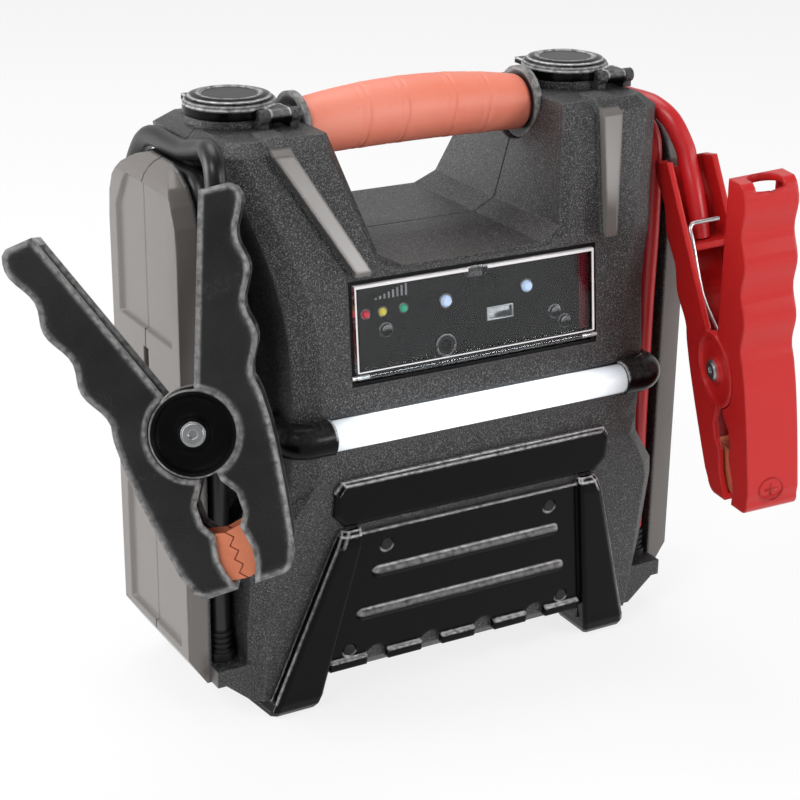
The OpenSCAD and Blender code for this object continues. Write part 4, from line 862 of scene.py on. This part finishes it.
def make_mark(colour, along, plus):
    """A ring with its + or - sign, moulded on the free half's back near the jaw's end."""
    slope = math.atan2(clamp_back(MARK_Z + MARK_R) - clamp_back(MARK_Z - MARK_R), 2 * MARK_R)
    spot = Vector((-clamp_back(MARK_Z), along, MARK_Z)) * MM
    place = (CLAMPS[colour] @ Matrix.Translation(spot)
             @ Matrix.Rotation(math.radians(-90), 4, "Y") @ Matrix.Rotation(-slope, 4, "Y"))
    strokes = [(*STROKE, *STROKE_W)] if plus else []
    strokes.append((*STROKE_W, *STROKE))
    plates = [(rectangle(*edges), MARK_SUNK) for edges in strokes]
    parts = [raised_ring(0, 0, MARK_SUNK, MARK_R - MARK_RIM, MARK_R, 0.6),
             chamfered_plates(plates, 0.55, 0.15)]
    add_mesh(f"{colour}_pole_mark", *join(parts), f"{colour}_plastic", f"{colour}_clamp",
             place)


make_mark("red", 0.8, True)
make_mark("black", 0.0, False)

# ---- Studio ----

FLOOR_SIZE = 8
PAPER = (0.88, 0.88, 0.88, 1)
PAPER_GLOW = 0.8
WHITE = (1, 1, 1, 1)
SKY_LIGHT = 0.4
SKY_SEEN = 1.0
SKY_REFLECTED = (-0.3, 0.3)  # added in reflections, in front and behind
BEHIND = (-0.1, 0.5)


def make_floor():
    """A pale floor that the camera sees nearly white."""
    bpy.ops.mesh.primitive_plane_add(size=FLOOR_SIZE)
    floor = bpy.context.object
    floor.name = "studio_floor"
    material, tree, shader = start_material("studio_paper", Roughness=0.9)
    shader.inputs["Base Color"].default_value = PAPER
    seen = tree.nodes.new("ShaderNodeLightPath")
    rays = math_node(tree, "MAXIMUM", math_node(
        tree, "MAXIMUM", seen.outputs["Is Camera Ray"], seen.outputs["Is Transmission Ray"]),
        seen.outputs["Is Glossy Ray"])
    white = tree.nodes.new("ShaderNodeEmission")
    mixed = tree.nodes.new("ShaderNodeMixShader")
    tree.links.new(math_node(tree, "MULTIPLY", rays, PAPER_GLOW), mixed.inputs[0])
    tree.links.new(shader.outputs[0], mixed.inputs[1])
    tree.links.new(white.outputs[0], mixed.inputs[2])
    tree.links.new(mixed.outputs[0], tree.nodes["Material Output"].inputs["Surface"])
    floor.data.materials.append(material)


def make_world():
    """White to the camera, soft as light, bright behind and dim in front in reflections."""
    world = bpy.data.worlds.new("studio")
    bpy.context.scene.world = world
    world.use_nodes = True
    tree = world.node_tree
    back = tree.nodes["Background"]
    seen = tree.nodes.new("ShaderNodeLightPath")
    behind = smooth_step(tree, coordinates(tree, "Generated")[1], *BEHIND)
    rays = math_node(tree, "MAXIMUM", seen.outputs["Is Camera Ray"],
                     seen.outputs["Is Transmission Ray"])
    reflected = blend_values(tree, behind, *SKY_REFLECTED)
    glossy = math_node(tree, "MULTIPLY", seen.outputs["Is Glossy Ray"], reflected)
    strength = math_node(tree, "ADD", blend_values(tree, rays, SKY_LIGHT, SKY_SEEN), glossy)
    tree.links.new(strength, back.inputs["Strength"])
    back.inputs["Color"].default_value = WHITE


# Name, place, aim, size (all in metres) and watts
SOFTBOXES = [
    ("key_softbox", (-1.25, -0.75, 1.45), (0, 0, 0.14), (0.7, 0.7), 14),
    ("rim_softbox", (-1.5, 0.8, 0.5), (0, 0, 0.14), (1.1, 1.0), 24),
    ("front_softbox", (0.76, -1.4, 0.6), (0, 0, 0.2), (0.5, 0.45), 8),
    ("right_softbox", (1.5, -0.7, 0.4), (0, 0, 0.14), (0.5, 0.8), 6),
    ("top_softbox", (0.1, 0.45, 1.5), (0, 0, 0.2), (0.9, 0.9), 9),
]


def add_softbox(name, place, aim, size, watts):
    """An area lamp turned towards a point."""
    lamp = bpy.data.lights.new(name, "AREA")
    lamp.shape = "RECTANGLE"
    lamp.size, lamp.size_y = size
    lamp.energy = watts
    piece = bpy.data.objects.new(name, lamp)
    piece.location = place
    piece.rotation_euler = (Vector(aim) - Vector(place)).to_track_quat("-Z", "Y").to_euler()
    bpy.context.scene.collection.objects.link(piece)


make_floor()
make_world()
for softbox in SOFTBOXES:
    add_softbox(*softbox)

bpy.context.scene.view_settings.view_transform = "Standard"
